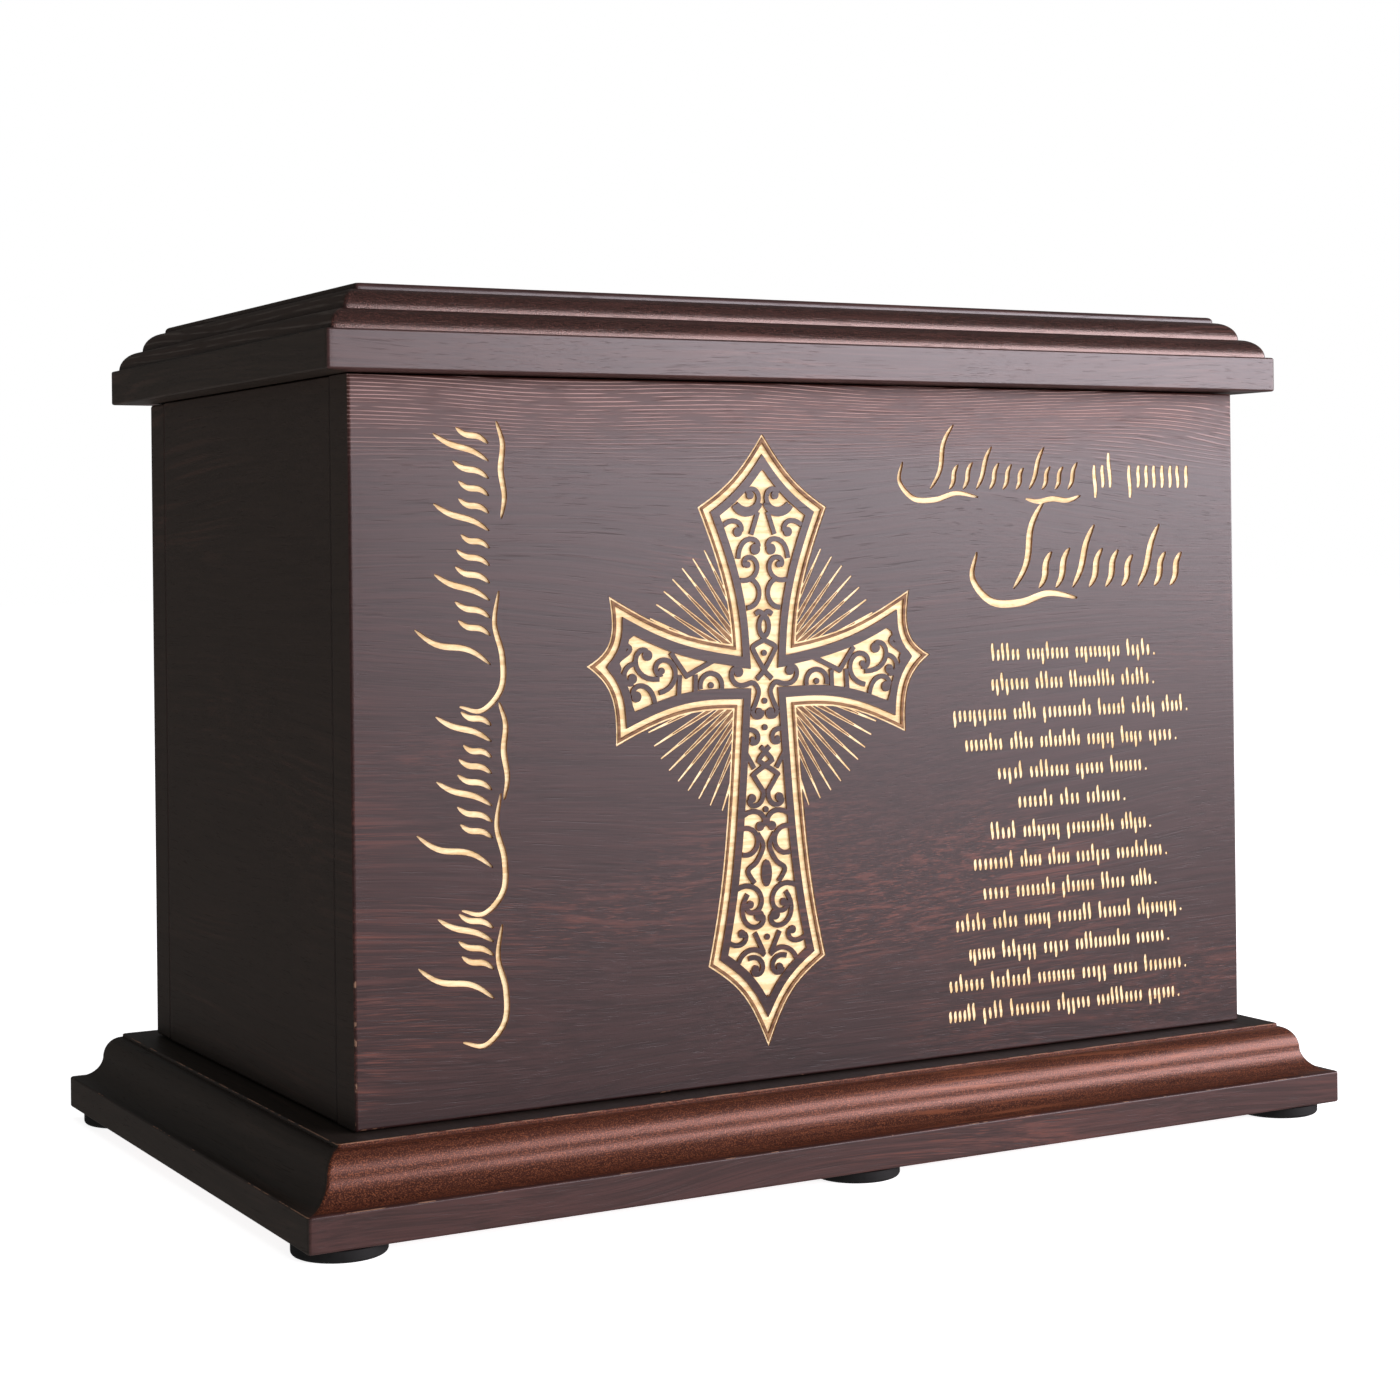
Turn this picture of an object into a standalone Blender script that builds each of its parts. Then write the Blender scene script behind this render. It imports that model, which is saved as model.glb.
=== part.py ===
"""Cremation urn box of dark stained wood: four wall boards on a moulded base with six feet,
a lift-off moulded lid, and a front board engraved with a cross, rays and rows of strokes.

Millimetres are used for every named size; the meshes are written in metres.
X runs along the front, Y to the back and Z up. The origin is under the middle of the feet.
"""
import math

import bmesh
import bpy
import numpy as np
from mathutils import Vector
from mathutils.geometry import delaunay_2d_cdt

METRES = 0.001

# Box
body_width = 225.0
body_depth = 125.0
wall_height = 149.3
wall_thickness = 10.0
joint_gap = 0.3
arris = 0.6

# Base board with its routed edge
base_thickness = 18.0
base_overhang = 16.4
base_fascia_height = 7.2
base_hollow_radius = 5.7
base_hollow_sweep_angle = 82.0
base_round_radius = 3.7
base_step = 0.8
fascia_nib = 0.5

# Lid board with its routed edge and the tongue that finds the walls
lid_thickness = 18.0
lid_overhang = 7.3
lid_fascia_height = 8.0
lid_lower_round = 4.4
lid_upper_round = 4.25
lid_ledge = 1.4
lid_top_round = 1.0
tongue_depth = 6.0
tongue_clearance = 1.0
tongue_chamfer = 0.8

# Feet
foot_radius = 9.5
foot_thickness = 2.5
foot_edge_round = 0.8
foot_inset_x = 10.3
foot_inset_y = 10.3
foot_sides = 16

# Engraving on the front board
engraving_depth = 0.5
cross_margin_above = 10.9
cross_margin_below = 7.1
cross_axis_from_middle = -17.8
ray_reach = 30.6
ray_root_radius = 7.0
ray_root_width = 1.3
stroke_width = 1.05
eye_sides = 6
merge_distance = 0.03

# Rows of strokes in the places of the inscription
column_margin = 15.0
column_width = 20.0
column_foot = 15.0
text_right_margin = 14.5
text_gap_to_arm = 6.0
row_pitch = 6.7
row_first_height = 8.6
row_stroke_height = 2.0
word_gap = 2.2
heading_margin_above = 7.3
heading_right_margin = 12.5
heading_height = 16.0
heading_gap = 4.5
rows_gap_below_heading = 10.0
first_line_script_width = 48.0
first_line_words_width = 33.0
second_line_width = 58.0
small_word_height = 3.0
small_word_count = 3
script_pitch = 4.8
script_slant = 0.35
script_stroke_width = 1.3

WOOD = (0.115, 0.060, 0.062, 1.0)
RUBBER = (0.012, 0.012, 0.013, 1.0)


def clear_scene():
    """Removes every object that the file opened with."""
    for old in list(bpy.data.objects):
        bpy.data.objects.remove(old, do_unlink=True)


def finish_material(name, colour, roughness):
    """A plain Principled finish."""
    material = bpy.data.materials.new(name)
    material.use_nodes = True
    shader = material.node_tree.nodes["Principled BSDF"]
    shader.inputs["Base Color"].default_value = colour
    shader.inputs["Roughness"].default_value = roughness
    shader.inputs["Metallic"].default_value = 0.0
    return material


def place(name, points, faces, material, location=(0.0, 0.0, 0.0)):
    """Makes a closed object from points and faces in millimetres."""
    mesh = bpy.data.meshes.new(name)
    mesh.from_pydata([Vector(p) * METRES for p in points], [], faces)
    shape = bmesh.new()
    shape.from_mesh(mesh)
    bmesh.ops.recalc_face_normals(shape, faces=shape.faces[:])
    shape.to_mesh(mesh)
    shape.free()
    mesh.materials.append(material)
    piece = bpy.data.objects.new(name, mesh)
    piece.location = Vector(location) * METRES
    bpy.context.collection.objects.link(piece)
    return piece


def stacked_rings(rings):
    """Joins rings of the same count into one closed shell with a flat cap at each end."""
    count = len(rings[0])
    points = [p for ring in rings for p in ring]
    faces = [tuple(range(count))]
    for level in range(len(rings) - 1):
        for k in range(count):
            here = level * count + k
            beside = level * count + (k + 1) % count
            faces.append((here, beside, beside + count, here + count))
    last = (len(rings) - 1) * count
    faces.append(tuple(range(last, last + count)))
    return points, faces


def rectangle_ring(out, height):
    """The body's plan outline pushed out by one amount, at one height."""
    x = body_width / 2 + out
    y = body_depth / 2 + out
    return [(-x, -y, height), (x, -y, height), (x, y, height), (-x, y, height)]


def arc(centre, radius, start, sweep, steps):
    """Points (out, height) along an arc; angles in degrees from the outward direction."""
    cx, cz = centre
    turns = [math.radians(start + sweep * k / steps) for k in range(steps + 1)]
    return [(cx + radius * math.cos(a), cz + radius * math.sin(a)) for a in turns]


# Heights that stack the pieces on each other
base_bottom = foot_thickness + joint_gap
base_top = base_bottom + base_thickness
wall_bottom = base_top + joint_gap
wall_top = wall_bottom + wall_height
lid_bottom = wall_top + joint_gap
lid_top = lid_bottom + lid_thickness


def base_profile():
    """Base edge from the underside up: fascia, small nib, hollow, round, step and flat ledge."""
    fascia_top = base_bottom + base_fascia_height
    hollow_out = base_overhang - fascia_nib
    round_top = base_top - base_step
    hollow_centre = (hollow_out, fascia_top + base_hollow_radius)
    hollow = arc(hollow_centre, base_hollow_radius, 270, -base_hollow_sweep_angle, 5)
    lean_out, lean_height = hollow[-1]
    rise = round_top - lean_height
    round_centre = (lean_out - base_round_radius, lean_height)
    rounded = [(round_centre[0] + base_round_radius * math.cos(a), lean_height + rise * math.sin(a))
               for a in (math.radians(18 * k) for k in range(1, 6))]
    shelf = rounded[-1][0]
    return ([(base_overhang, base_bottom), (base_overhang, fascia_top)] + hollow + rounded
            + [(shelf, base_top)])


def lid_profile():
    """Lid edge from the underside up: fascia, ledge, lower round, upper round and top fillet."""
    fascia_top = lid_bottom + lid_fascia_height
    lower_out = lid_overhang - lid_ledge
    lower = arc((lower_out - lid_lower_round, fascia_top), lid_lower_round, 0, 90, 5)
    upper_foot = lower[-1][1]
    upper = arc((lower[-1][0] - lid_upper_round, upper_foot), lid_upper_round, 0, 90, 5)
    fillet_out = upper[-1][0]
    fillet = arc((fillet_out - lid_top_round, lid_top - lid_top_round), lid_top_round, 0, 90, 3)
    return [(lid_overhang, lid_bottom), (lid_overhang, fascia_top)] + lower + upper + fillet


def make_base(material):
    """The base board is the floor of the box as well."""
    rings = [rectangle_ring(out, height) for out, height in base_profile()]
    return place("base", *stacked_rings(rings), material)


def make_lid(material):
    """One routed board whose underside carries a shallow tongue that drops between the walls."""
    tongue_out = -wall_thickness - tongue_clearance
    tongue_end = lid_bottom - tongue_depth
    tongue = [(tongue_out - tongue_chamfer, tongue_end), (tongue_out, tongue_end + tongue_chamfer),
              (tongue_out, lid_bottom)]
    rings = [rectangle_ring(out, height) for out, height in tongue + lid_profile()]
    return place("lid", *stacked_rings(rings), material)


def make_board(name, size, middle, outward, material):
    """A plain upright board whose two long outer edges are eased by a small chamfer."""
    sx, sy, sz = (v / 2 for v in size)
    ease = arris
    plan = [(-sx, sy), (-sx, -sy + ease), (-sx + ease, -sy), (sx - ease, -sy), (sx, -sy + ease), (sx, sy)]
    turn = math.atan2(outward[0], -outward[1])
    c, s = math.cos(turn), math.sin(turn)
    rings = []
    for z in (-sz, sz):
        rings.append([(middle[0] + x * c - y * s, middle[1] + x * s + y * c, middle[2] + z) for x, y in plan])
    return place(name, *stacked_rings(rings), material)


def make_walls(material):
    """Back board over the full width, and side boards that stop inside front and back."""
    middle = (wall_bottom + wall_top) / 2
    back_y = (body_depth - wall_thickness) / 2
    side_x = (body_width - wall_thickness) / 2
    side_length = body_depth - 2 * wall_thickness - 2 * joint_gap
    make_board("back_board", (body_width, wall_thickness, wall_height), (0, back_y, middle), (0, 1), material)
    side = (side_length, wall_thickness, wall_height)
    make_board("left_board", side, (-side_x, 0, middle), (-1, 0), material)
    make_board("right_board", side, (side_x, 0, middle), (1, 0), material)


def make_feet(material):
    """Six round pads: one at each corner and one in the middle of each long side."""
    edge = arc((foot_radius - foot_edge_round, foot_edge_round), foot_edge_round, -90, 90, 2)
    profile = edge + [(foot_radius, foot_thickness)]
    rings = []
    for out, height in profile:
        turns = [math.tau * k / foot_sides for k in range(foot_sides)]
        rings.append([(out * math.cos(a), out * math.sin(a), height) for a in turns])
    points, faces = stacked_rings(rings)
    far_x = body_width / 2 + base_overhang - foot_inset_x
    far_y = body_depth / 2 + base_overhang - foot_inset_y
    for row, y in (("front", -far_y), ("back", far_y)):
        for spot, x in (("left", -far_x), ("middle", 0.0), ("right", far_x)):
            place(f"foot_{row}_{spot}", points, faces, material, (x, y, 0.0))


# Corners of the cross from its crossing, which is scaled to the height of the board
apex, shoulder, armpit = (0.0, 51.8), (16.1, 36.0), (7.4, 6.8)
arm_top, arm_tip, arm_foot = (37.5, 17.6), (42.85, 3.1), (36.2, -13.8)
lower_pit, heel, tip = (7.0, -7.2), (14.55, -61.5), (0.0, -79.9)

# Insets of thin line, gap, band and field from the outline, on the flanks and on the arm ends
FLANK = (0.7, 1.35, 3.3, 5.1)
END = (0.6, 1.1, 2.75, 4.3)

# Each edge of the right half: start, bend, end, how closely it hugs the bend, insets
EDGES = [
    (apex, (6.97, 41.4), shoulder, 0.80, END),
    (shoulder, (10.45, 21.4), armpit, 0.67, FLANK),
    (armpit, (22.45, 9.0), arm_top, 0.67, END),
    (arm_top, (35.55, 6.8), arm_tip, 0.80, END),
    (arm_tip, (35.65, -1.8), arm_foot, 0.80, END),
    (arm_foot, (21.6, -4.3), lower_pit, 0.67, END),
    (lower_pit, (10.4, -34.3), heel, 0.67, FLANK),
    (heel, (5.2, -67.4), tip, 0.85, END),
]

# Volutes of the right half: eye, reach, start angle, sweep, radius of the eye
VOLUTES = [
    ((3.1, 38.6), 3.9, -29, -300, 0.90),
    ((6.25, 30.7), 3.8, 23, 140, 1.05),
    ((1.95, 27.0), 4.7, -25, 170, 1.20),
    ((3.9, 23.7), 3.8, -60, -320, 0.70),
    ((6.4, 0.8), 3.5, -128, 200, 1.10),
    ((1.5, -8.1), 2.1, 15, -190, 0.90),
    ((3.3, -13.7), 2.7, 59, 240, 0.80),
    ((3.4, -26.4), 3.3, 146, 190, 0.95),
    ((1.5, -32.5), 5.5, 18, 150, 1.00),
    ((4.15, -49.1), 4.8, 46, 320, 0.85),
    ((2.0, -51.6), 5.5, 60, -230, 1.20),
    ((6.3, -55.2), 3.6, -28, -150, 0.90),
    ((3.0, -63.0), 2.9, 53, 290, 0.85),
    ((32.1, 0.2), 3.4, 106, -200, 1.05),
    ((28.5, 5.0), 5.8, -119, 200, 1.15),
    ((25.1, 1.6), 4.6, -82, -370, 0.70),
    ((31.2, -3.6), 4.6, 198, -170, 1.15),
]

# Plain bows of the right half: centre, radius, start angle, sweep
BOWS = [
    ((4.25, 17.6), 3.2, 118, 150),
    ((5.0, -35.6), 2.9, 65, 225),
    ((13.3, -2.6), 3.0, -10, 200),
    ((4.0, 38.2), 3.7, 200, 130),
    ((3.6, -62.6), 3.8, 20, 120),
]

# Straps of the right half, each through its few corners
STRAPS = [
    [(4.6, -2.0), (2.5, -1.6), (1.3, -3.6), (2.3, -6.0), (3.45, -7.8)],
    [(1.1, -15.4), (-1.6, -18.3), (2.9, -21.6), (0.75, -24.8)],
    [(2.1, -34.0), (0.8, -36.7), (2.4, -40.0), (4.6, -41.9), (3.0, -44.6)],
    [(1.2, 35.0), (2.9, 30.2)],
    [(3.1, -55.2), (0.9, -59.6)],
    [(22.6, 5.0), (19.1, 1.1), (11.0, 4.2)],
    [(20.8, 0.6), (21.1, -4.4)],
    [(17.0, 0.6), (17.1, -4.4)],
    [(35.3, 4.2), (32.6, 6.4), (35.0, 8.2)],
    [(5.4, -15.8), (4.0, -18.0), (2.8, -20.0)],
    [(-0.6, 8.2), (2.75, 4.6), (-1.6, -1.6)],
]
DOTS = [(0.0, -5.6), (0.0, -11.3), (0.0, -28.9), (0.0, -56.3), (0.0, 4.7), (13.3, -2.1)]
LENSES = [((0.0, 10.4), 1.8, 3.2), ((0.0, -42.6), 1.3, 2.9)]

# Fans of rays: angles of the first and last, and how many
upper_fan_angles, upper_fan_count = (24.6, 61.6), 7
lower_fan_angles, lower_fan_count = (-21.4, -69.2), 9


def hugging_curve(start, bend, end, hug, steps):
    """Cubic from start towards end, pulled to the bend; the end point itself is left out."""
    a, b, d = Vector(start), Vector(bend), Vector(end)
    first, second = a.lerp(b, hug), d.lerp(b, hug)
    points = []
    for k in range(steps):
        t = k / steps
        s = 1 - t
        points.append(a * s ** 3 + first * 3 * s * s * t + second * 3 * s * t * t + d * t ** 3)
    return points


def cross_outline(steps):
    """Clockwise outline of the cross and, for each of its sides, the four insets."""
    loop, insets = [], []
    for start, bend, end, hug, depth in EDGES:
        loop += hugging_curve(start, bend, end, hug, steps)
        insets += [depth] * steps
    for start, bend, end, hug, depth in reversed(EDGES):
        flip = [(-x, y) for x, y in (end, bend, start)]
        loop += hugging_curve(*flip, hug, steps)
        insets += [depth] * steps
    return loop, insets


def inset_loop(loop, depths):
    """Moves each side of a clockwise loop inward by its own depth and meets its neighbours."""
    moved = []
    for i, here in enumerate(loop):
        before = (here - loop[i - 1]).normalized()
        after = (loop[(i + 1) % len(loop)] - here).normalized()
        n1, n2 = Vector((before.y, -before.x)), Vector((after.y, -after.x))
        turn = n1.x * n2.y - n1.y * n2.x
        if abs(turn) < 0.02:
            moved.append(here + (n1 * depths[i - 1] + n2 * depths[i]) / 2)
        else:
            x = (depths[i - 1] * n2.y - depths[i] * n1.y) / turn
            y = (depths[i] * n1.x - depths[i - 1] * n2.x) / turn
            moved.append(here + Vector((x, y)))
    return moved


def ribbon(points, widths):
    """One long face along a path, with its sides half a width out at every point."""
    left, right = [], []
    for i, here in enumerate(points):
        along = points[min(i + 1, len(points) - 1)] - points[max(i - 1, 0)]
        side = Vector((-along.y, along.x)).normalized() * widths[i] / 2
        left.append(here + side)
        right.append(here - side)
    return left + right[::-1]


def round_path(corners, steps):
    """Catmull-Rom curve through a few corners."""
    spots = [Vector(p) for p in corners]
    if len(spots) == 2:
        return spots
    spots = [spots[0] * 2 - spots[1]] + spots + [spots[-1] * 2 - spots[-2]]
    path = []
    for i in range(1, len(spots) - 2):
        p0, p1, p2, p3 = spots[i - 1:i + 3]
        for k in range(steps):
            t = k / steps
            path.append((p1 * 2 + (p2 - p0) * t + (p0 * 2 - p1 * 5 + p2 * 4 - p3) * t * t
                         + (p1 * 3 - p0 - p2 * 3 + p3) * t ** 3) / 2)
    return path + [spots[-2]]


def disc(centre, radius_x, radius_y, sides):
    """A round or oval face."""
    turns = [math.tau * (k + 0.25) / sides for k in range(sides)]
    return [Vector(centre) + Vector((radius_x * math.cos(a), radius_y * math.sin(a))) for a in turns]


def spiral(eye, reach, start, sweep, end_radius, step_angle):
    """Path that winds from its reach in to its eye, faster at first."""
    steps = max(2, round(abs(sweep) / step_angle))
    path = []
    for k in range(steps + 1):
        t = k / steps
        radius = reach + (end_radius - reach) * t ** 0.8
        angle = math.radians(start + sweep * t)
        path.append(Vector(eye) + Vector((math.cos(angle), math.sin(angle))) * radius)
    return path


def mirrored(face):
    """The same face on the left half of the cross."""
    return [Vector((-p.x, p.y)) for p in face]


def scrollwork(step_angle, path_steps, sides):
    """Every raised stroke inside the field of the cross, both halves."""
    faces = []
    for eye, reach, start, sweep, eye_radius in VOLUTES:
        path = spiral(eye, reach, start, sweep, eye_radius * 0.8, step_angle)
        faces.append(ribbon(path, [stroke_width] * len(path)))
        faces.append(disc(eye, eye_radius, eye_radius, sides))
    for centre, radius, start, sweep in BOWS:
        path = spiral(centre, radius, start, sweep, radius, step_angle)
        faces.append(ribbon(path, [stroke_width] * len(path)))
    for corners in STRAPS:
        path = round_path(corners, path_steps)
        faces.append(ribbon(path, [stroke_width] * len(path)))
    both = faces + [mirrored(face) for face in faces]
    both += [disc(centre, 0.65, 0.65, sides) for centre in DOTS]
    both += [disc(centre, width, height, sides) for centre, width, height in LENSES]
    return both


def rays():
    """Slim wedges that fan out between the arms, from inside the outline to one circle."""
    faces = []
    fans = ((upper_fan_angles, upper_fan_count), (lower_fan_angles, lower_fan_count))
    for (first, last), count in fans:
        for k in range(count):
            angle = math.radians(first + (last - first) * k / (count - 1))
            along = Vector((math.cos(angle), math.sin(angle)))
            across = Vector((-along.y, along.x))
            root = along * ray_root_radius
            face = [root - across * ray_root_width / 2, along * ray_reach, root + across * ray_root_width / 2]
            faces += [face, mirrored(face)]
    return faces


def upright_box(left, foot, width, height):
    """A rectangular face."""
    return [Vector((left, foot)), Vector((left + width, foot)),
            Vector((left + width, foot + height)), Vector((left, foot + height))]


def slanting_strokes(start, along, up, length, height):
    """Slanting strokes of changing height that stand along a line."""
    faces = []
    count = max(1, round(length / script_pitch))
    pitch = length / count
    for k in range(count):
        tall = height * (1.0 if k % 5 == 0 else 0.45 + 0.1 * math.sin(2.1 * k))
        foot = start + along * pitch * (k + 0.2)
        top = foot + along * tall * script_slant + up * tall
        across = along * script_stroke_width
        faces.append([foot, foot + across, top + across, top])
    return faces


def word_row(middle, width, height, row):
    """Word-long strokes of changing length that fill one centred row."""
    words = 5 + row % 3
    longest = (width - word_gap * (words - 1)) / words
    lengths = [1 + 0.35 * math.sin(1.7 * k + row) * (1 if k % 2 else -1) for k in range(words)]
    total = sum(lengths)
    faces, x = [], middle - width / 2
    for share in lengths:
        length = longest * words * share / total
        faces.append(upright_box(x, height - row_stroke_height / 2, length, row_stroke_height))
        x += length + word_gap
    return faces


def inscription(arm_reach):
    """Rows of word-long strokes, two lines of script over them and one up the left side."""
    faces = []
    right, upward = Vector((1, 0)), Vector((0, 1))
    text_right = body_width / 2 - text_right_margin
    text_left = cross_axis_from_middle + arm_reach + text_gap_to_arm
    middle, full_width = (text_left + text_right) / 2, text_right - text_left
    first_foot = wall_height - heading_margin_above - heading_height
    second_foot = first_foot - heading_gap - heading_height
    rows_height = second_foot - rows_gap_below_heading - row_first_height
    for row in range(int(rows_height / row_pitch) + 1):
        share = 0.84 + 0.14 * math.sin(2.3 * row + 0.6)
        faces += word_row(middle, full_width * share, row_first_height + row * row_pitch, row)
    second_start = Vector((middle - second_line_width / 2, second_foot))
    faces += slanting_strokes(second_start, right, upward, second_line_width, heading_height)
    words_left = body_width / 2 - heading_right_margin - first_line_words_width
    first_start = Vector((words_left - first_line_script_width, first_foot))
    faces += slanting_strokes(first_start, right, upward, first_line_script_width, heading_height)
    word_step = first_line_words_width / small_word_count
    for k in range(small_word_count):
        left = words_left + k * word_step + word_gap
        faces.append(upright_box(left, first_foot, word_step - word_gap, small_word_height))
    base_line = Vector((column_margin + column_width - body_width / 2, column_foot))
    faces += slanting_strokes(base_line, upward, -right, wall_height - 2 * column_foot, column_width)
    return faces


def engraving_layers():
    """Named groups of faces on the front, in millimetres from the middle of the board's foot."""
    drawn_height = apex[1] - tip[1]
    scale = (wall_height - cross_margin_above - cross_margin_below) / drawn_height
    centre = Vector((cross_axis_from_middle, cross_margin_below - tip[1] * scale))
    loop, insets = cross_outline(4)
    layers = {"line": [loop]}
    for k, name in enumerate(("line_inside", "band", "band_inside", "field")):
        layers[name] = [inset_loop(loop, [depths[k] for depths in insets])]
    layers["scroll"] = scrollwork(55, 2, eye_sides)
    layers["ray"] = rays()
    for faces in layers.values():
        for face in faces:
            face[:] = [centre + p * scale for p in face]
    layers["script"] = inscription(arm_tip[0] * scale)
    return layers


def is_cut(inside):
    """Says which spots are engraved, from the marks of the layers that they lie in."""
    frame = inside["line"] & ~inside["line_inside"] | inside["band"] & ~inside["band_inside"]
    leaves = inside["field"] & ~inside["scroll"]
    outside = inside["ray"] & ~inside["line"]
    return frame | leaves | outside | inside["script"]


def covered(face, x, y):
    """Marks the spots that one face winds round, by the sides that a level line crosses."""
    turns = np.zeros(len(x), int)
    for k, here in enumerate(face):
        before = face[k - 1]
        if here.y == before.y:
            continue
        between = (here.y > y) != (before.y > y)
        meets = (before.x - here.x) * (y - here.y) / (before.y - here.y) + here.x
        turns += np.where(between & (x < meets), 1 if here.y > before.y else -1, 0)
    return turns != 0


def part_touching_pockets(triangles, engraved):
    """Fills the triangles round any spot where two pockets would meet in a point."""
    corners = np.array(triangles)
    sides = np.sort(np.concatenate([corners[:, [0, 1]], corners[:, [1, 2]], corners[:, [2, 0]]]), axis=1)
    pairs, side_of = np.unique(sides, axis=0, return_inverse=True)
    side_of = side_of.reshape(3, -1)
    while True:
        cut_count = np.bincount(side_of.ravel(), np.tile(engraved, 3), len(pairs))
        edge_of_pocket = pairs[cut_count == 1]
        meeting = np.bincount(edge_of_pocket.ravel(), minlength=corners.max() + 1)
        touching = (meeting > 2)[corners].any(axis=1) & engraved
        if not touching.any():
            return engraved
        engraved = engraved & ~touching


def divide_front(layers, width, height):
    """Splits the front face into triangles along every layer's edge and marks the engraved ones."""
    spots = [Vector((-width / 2, 0)), Vector((width / 2, 0)),
             Vector((width / 2, height)), Vector((-width / 2, height))]
    sides = [(0, 1), (1, 2), (2, 3), (3, 0)]
    for group in layers.values():
        for face in group:
            first, count = len(spots), len(face)
            spots += face
            sides += [(first + k, first + (k + 1) % count) for k in range(count)]
    points, _, triangles, *_ = delaunay_2d_cdt(spots, sides, [], 0, merge_distance)
    centres = np.array([sum((points[i] for i in t), Vector((0, 0))) / 3 for t in triangles])
    x, y = centres[:, 0], centres[:, 1]
    inside = {name: np.zeros(len(triangles), bool) for name in layers}
    for name, group in layers.items():
        for face in group:
            inside[name] |= covered(face, x, y)
    return points, triangles, part_touching_pockets(triangles, is_cut(inside))


def make_front_board(material):
    """The front board: eased upright edges and shallow flat pockets for all engraved shapes."""
    points, triangles, engraved = divide_front(engraving_layers(), body_width - 2 * arris, wall_height)
    front_y = -body_depth / 2
    back_y = front_y + wall_thickness
    shape = bmesh.new()
    made = {}

    def corner(index, cut):
        """The vertex of one spot at the surface or at the pocket's floor."""
        if (index, cut) not in made:
            spot = points[index]
            y = front_y + (engraving_depth if cut else 0.0)
            made[index, cut] = shape.verts.new(Vector((spot.x, y, wall_bottom + spot.y)) * METRES)
        return made[index, cut]

    sides = {}
    for triangle, cut in zip(triangles, engraved.tolist()):
        shape.faces.new([corner(i, cut) for i in triangle])
        for k in range(3):
            a, b = triangle[k], triangle[(k + 1) % 3]
            sides.setdefault((min(a, b), max(a, b)), []).append(((a, b), cut))
    for owners in sides.values():
        cuts = [entry for entry in owners if entry[1]]
        if len(owners) == 2 and len(cuts) == 1:
            a, b = cuts[0][0]
            shape.faces.new([corner(b, True), corner(a, True), corner(a, False), corner(b, False)])
    x, ease = body_width / 2, arris
    rim = [corner(i, False) for i in range(4)]
    plan = [(-x, front_y + ease), (-x, back_y), (x, back_y), (x, front_y + ease)]
    low = [shape.verts.new(Vector((px, py, wall_bottom)) * METRES) for px, py in plan]
    high = [shape.verts.new(Vector((px, py, wall_top)) * METRES) for px, py in plan]
    shape.faces.new([rim[0], low[0], high[0], rim[3]])
    shape.faces.new([rim[2], high[3], low[3], rim[1]])
    for k in range(3):
        shape.faces.new([low[k], low[k + 1], high[k + 1], high[k]])
    shape.faces.new([rim[0], rim[1]] + low[::-1])
    shape.faces.new([rim[3], rim[2]] + high[::-1])
    bmesh.ops.recalc_face_normals(shape, faces=shape.faces[:])
    mesh = bpy.data.meshes.new("front_board")
    shape.to_mesh(mesh)
    shape.free()
    mesh.materials.append(material)
    piece = bpy.data.objects.new("front_board", mesh)
    bpy.context.collection.objects.link(piece)
    return piece


def build():
    """Makes every piece of the urn."""
    clear_scene()
    for name, maker in (("base_wood", make_base), ("wall_wood", make_walls),
                        ("front_wood", make_front_board), ("lid_wood", make_lid)):
        maker(finish_material(name, WOOD, 0.35))
    make_feet(finish_material("foot_rubber", RUBBER, 0.8))


build()
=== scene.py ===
# %% [markdown]
# # The looks of a wooden cremation urn box
#
# The object is a hollow box of dark stained boards on a moulded base, with a moulded lid that
# lifts off and a front board that carries a laser-engraved cross, its rays and an inscription.
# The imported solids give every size. This script dresses them: it makes finer surfaces with
# numpy, puts them exactly where the solids are, and gives each its own finish. All pieces are
# worked out in millimetres and written to Blender in metres.

import math

import bpy
import numpy as np
from mathutils import Matrix, Vector
from mathutils.geometry import delaunay_2d_cdt


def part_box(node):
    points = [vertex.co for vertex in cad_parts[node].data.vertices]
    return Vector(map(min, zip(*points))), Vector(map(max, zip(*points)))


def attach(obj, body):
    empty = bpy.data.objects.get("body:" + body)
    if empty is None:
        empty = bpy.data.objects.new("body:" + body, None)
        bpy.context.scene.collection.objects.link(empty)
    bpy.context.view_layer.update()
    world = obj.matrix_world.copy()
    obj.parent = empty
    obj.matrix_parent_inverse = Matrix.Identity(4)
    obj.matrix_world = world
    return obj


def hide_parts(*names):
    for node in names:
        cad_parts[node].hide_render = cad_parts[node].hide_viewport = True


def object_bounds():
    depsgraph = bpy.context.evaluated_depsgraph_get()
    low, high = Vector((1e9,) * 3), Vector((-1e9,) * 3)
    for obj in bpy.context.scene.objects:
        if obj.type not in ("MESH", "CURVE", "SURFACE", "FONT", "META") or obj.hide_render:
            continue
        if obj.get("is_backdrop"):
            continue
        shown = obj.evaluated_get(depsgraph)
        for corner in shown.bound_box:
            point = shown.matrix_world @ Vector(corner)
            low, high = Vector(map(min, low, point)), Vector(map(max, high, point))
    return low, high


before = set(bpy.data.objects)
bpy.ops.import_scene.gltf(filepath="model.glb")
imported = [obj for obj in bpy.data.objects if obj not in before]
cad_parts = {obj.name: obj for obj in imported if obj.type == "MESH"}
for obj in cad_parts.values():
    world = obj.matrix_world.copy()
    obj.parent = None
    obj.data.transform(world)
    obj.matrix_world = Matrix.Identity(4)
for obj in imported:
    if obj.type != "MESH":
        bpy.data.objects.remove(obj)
cad_box = [list(corner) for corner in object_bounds()]
MM = 0.001


def node_box(node):
    """Lowest and highest corner of one solid, in millimetres."""
    return np.array(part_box(node)) / MM


def into_scene(name, data):
    """An object that shows the data, linked into the scene."""
    thing = bpy.data.objects.new(name, data)
    bpy.context.scene.collection.objects.link(thing)
    return thing


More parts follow.
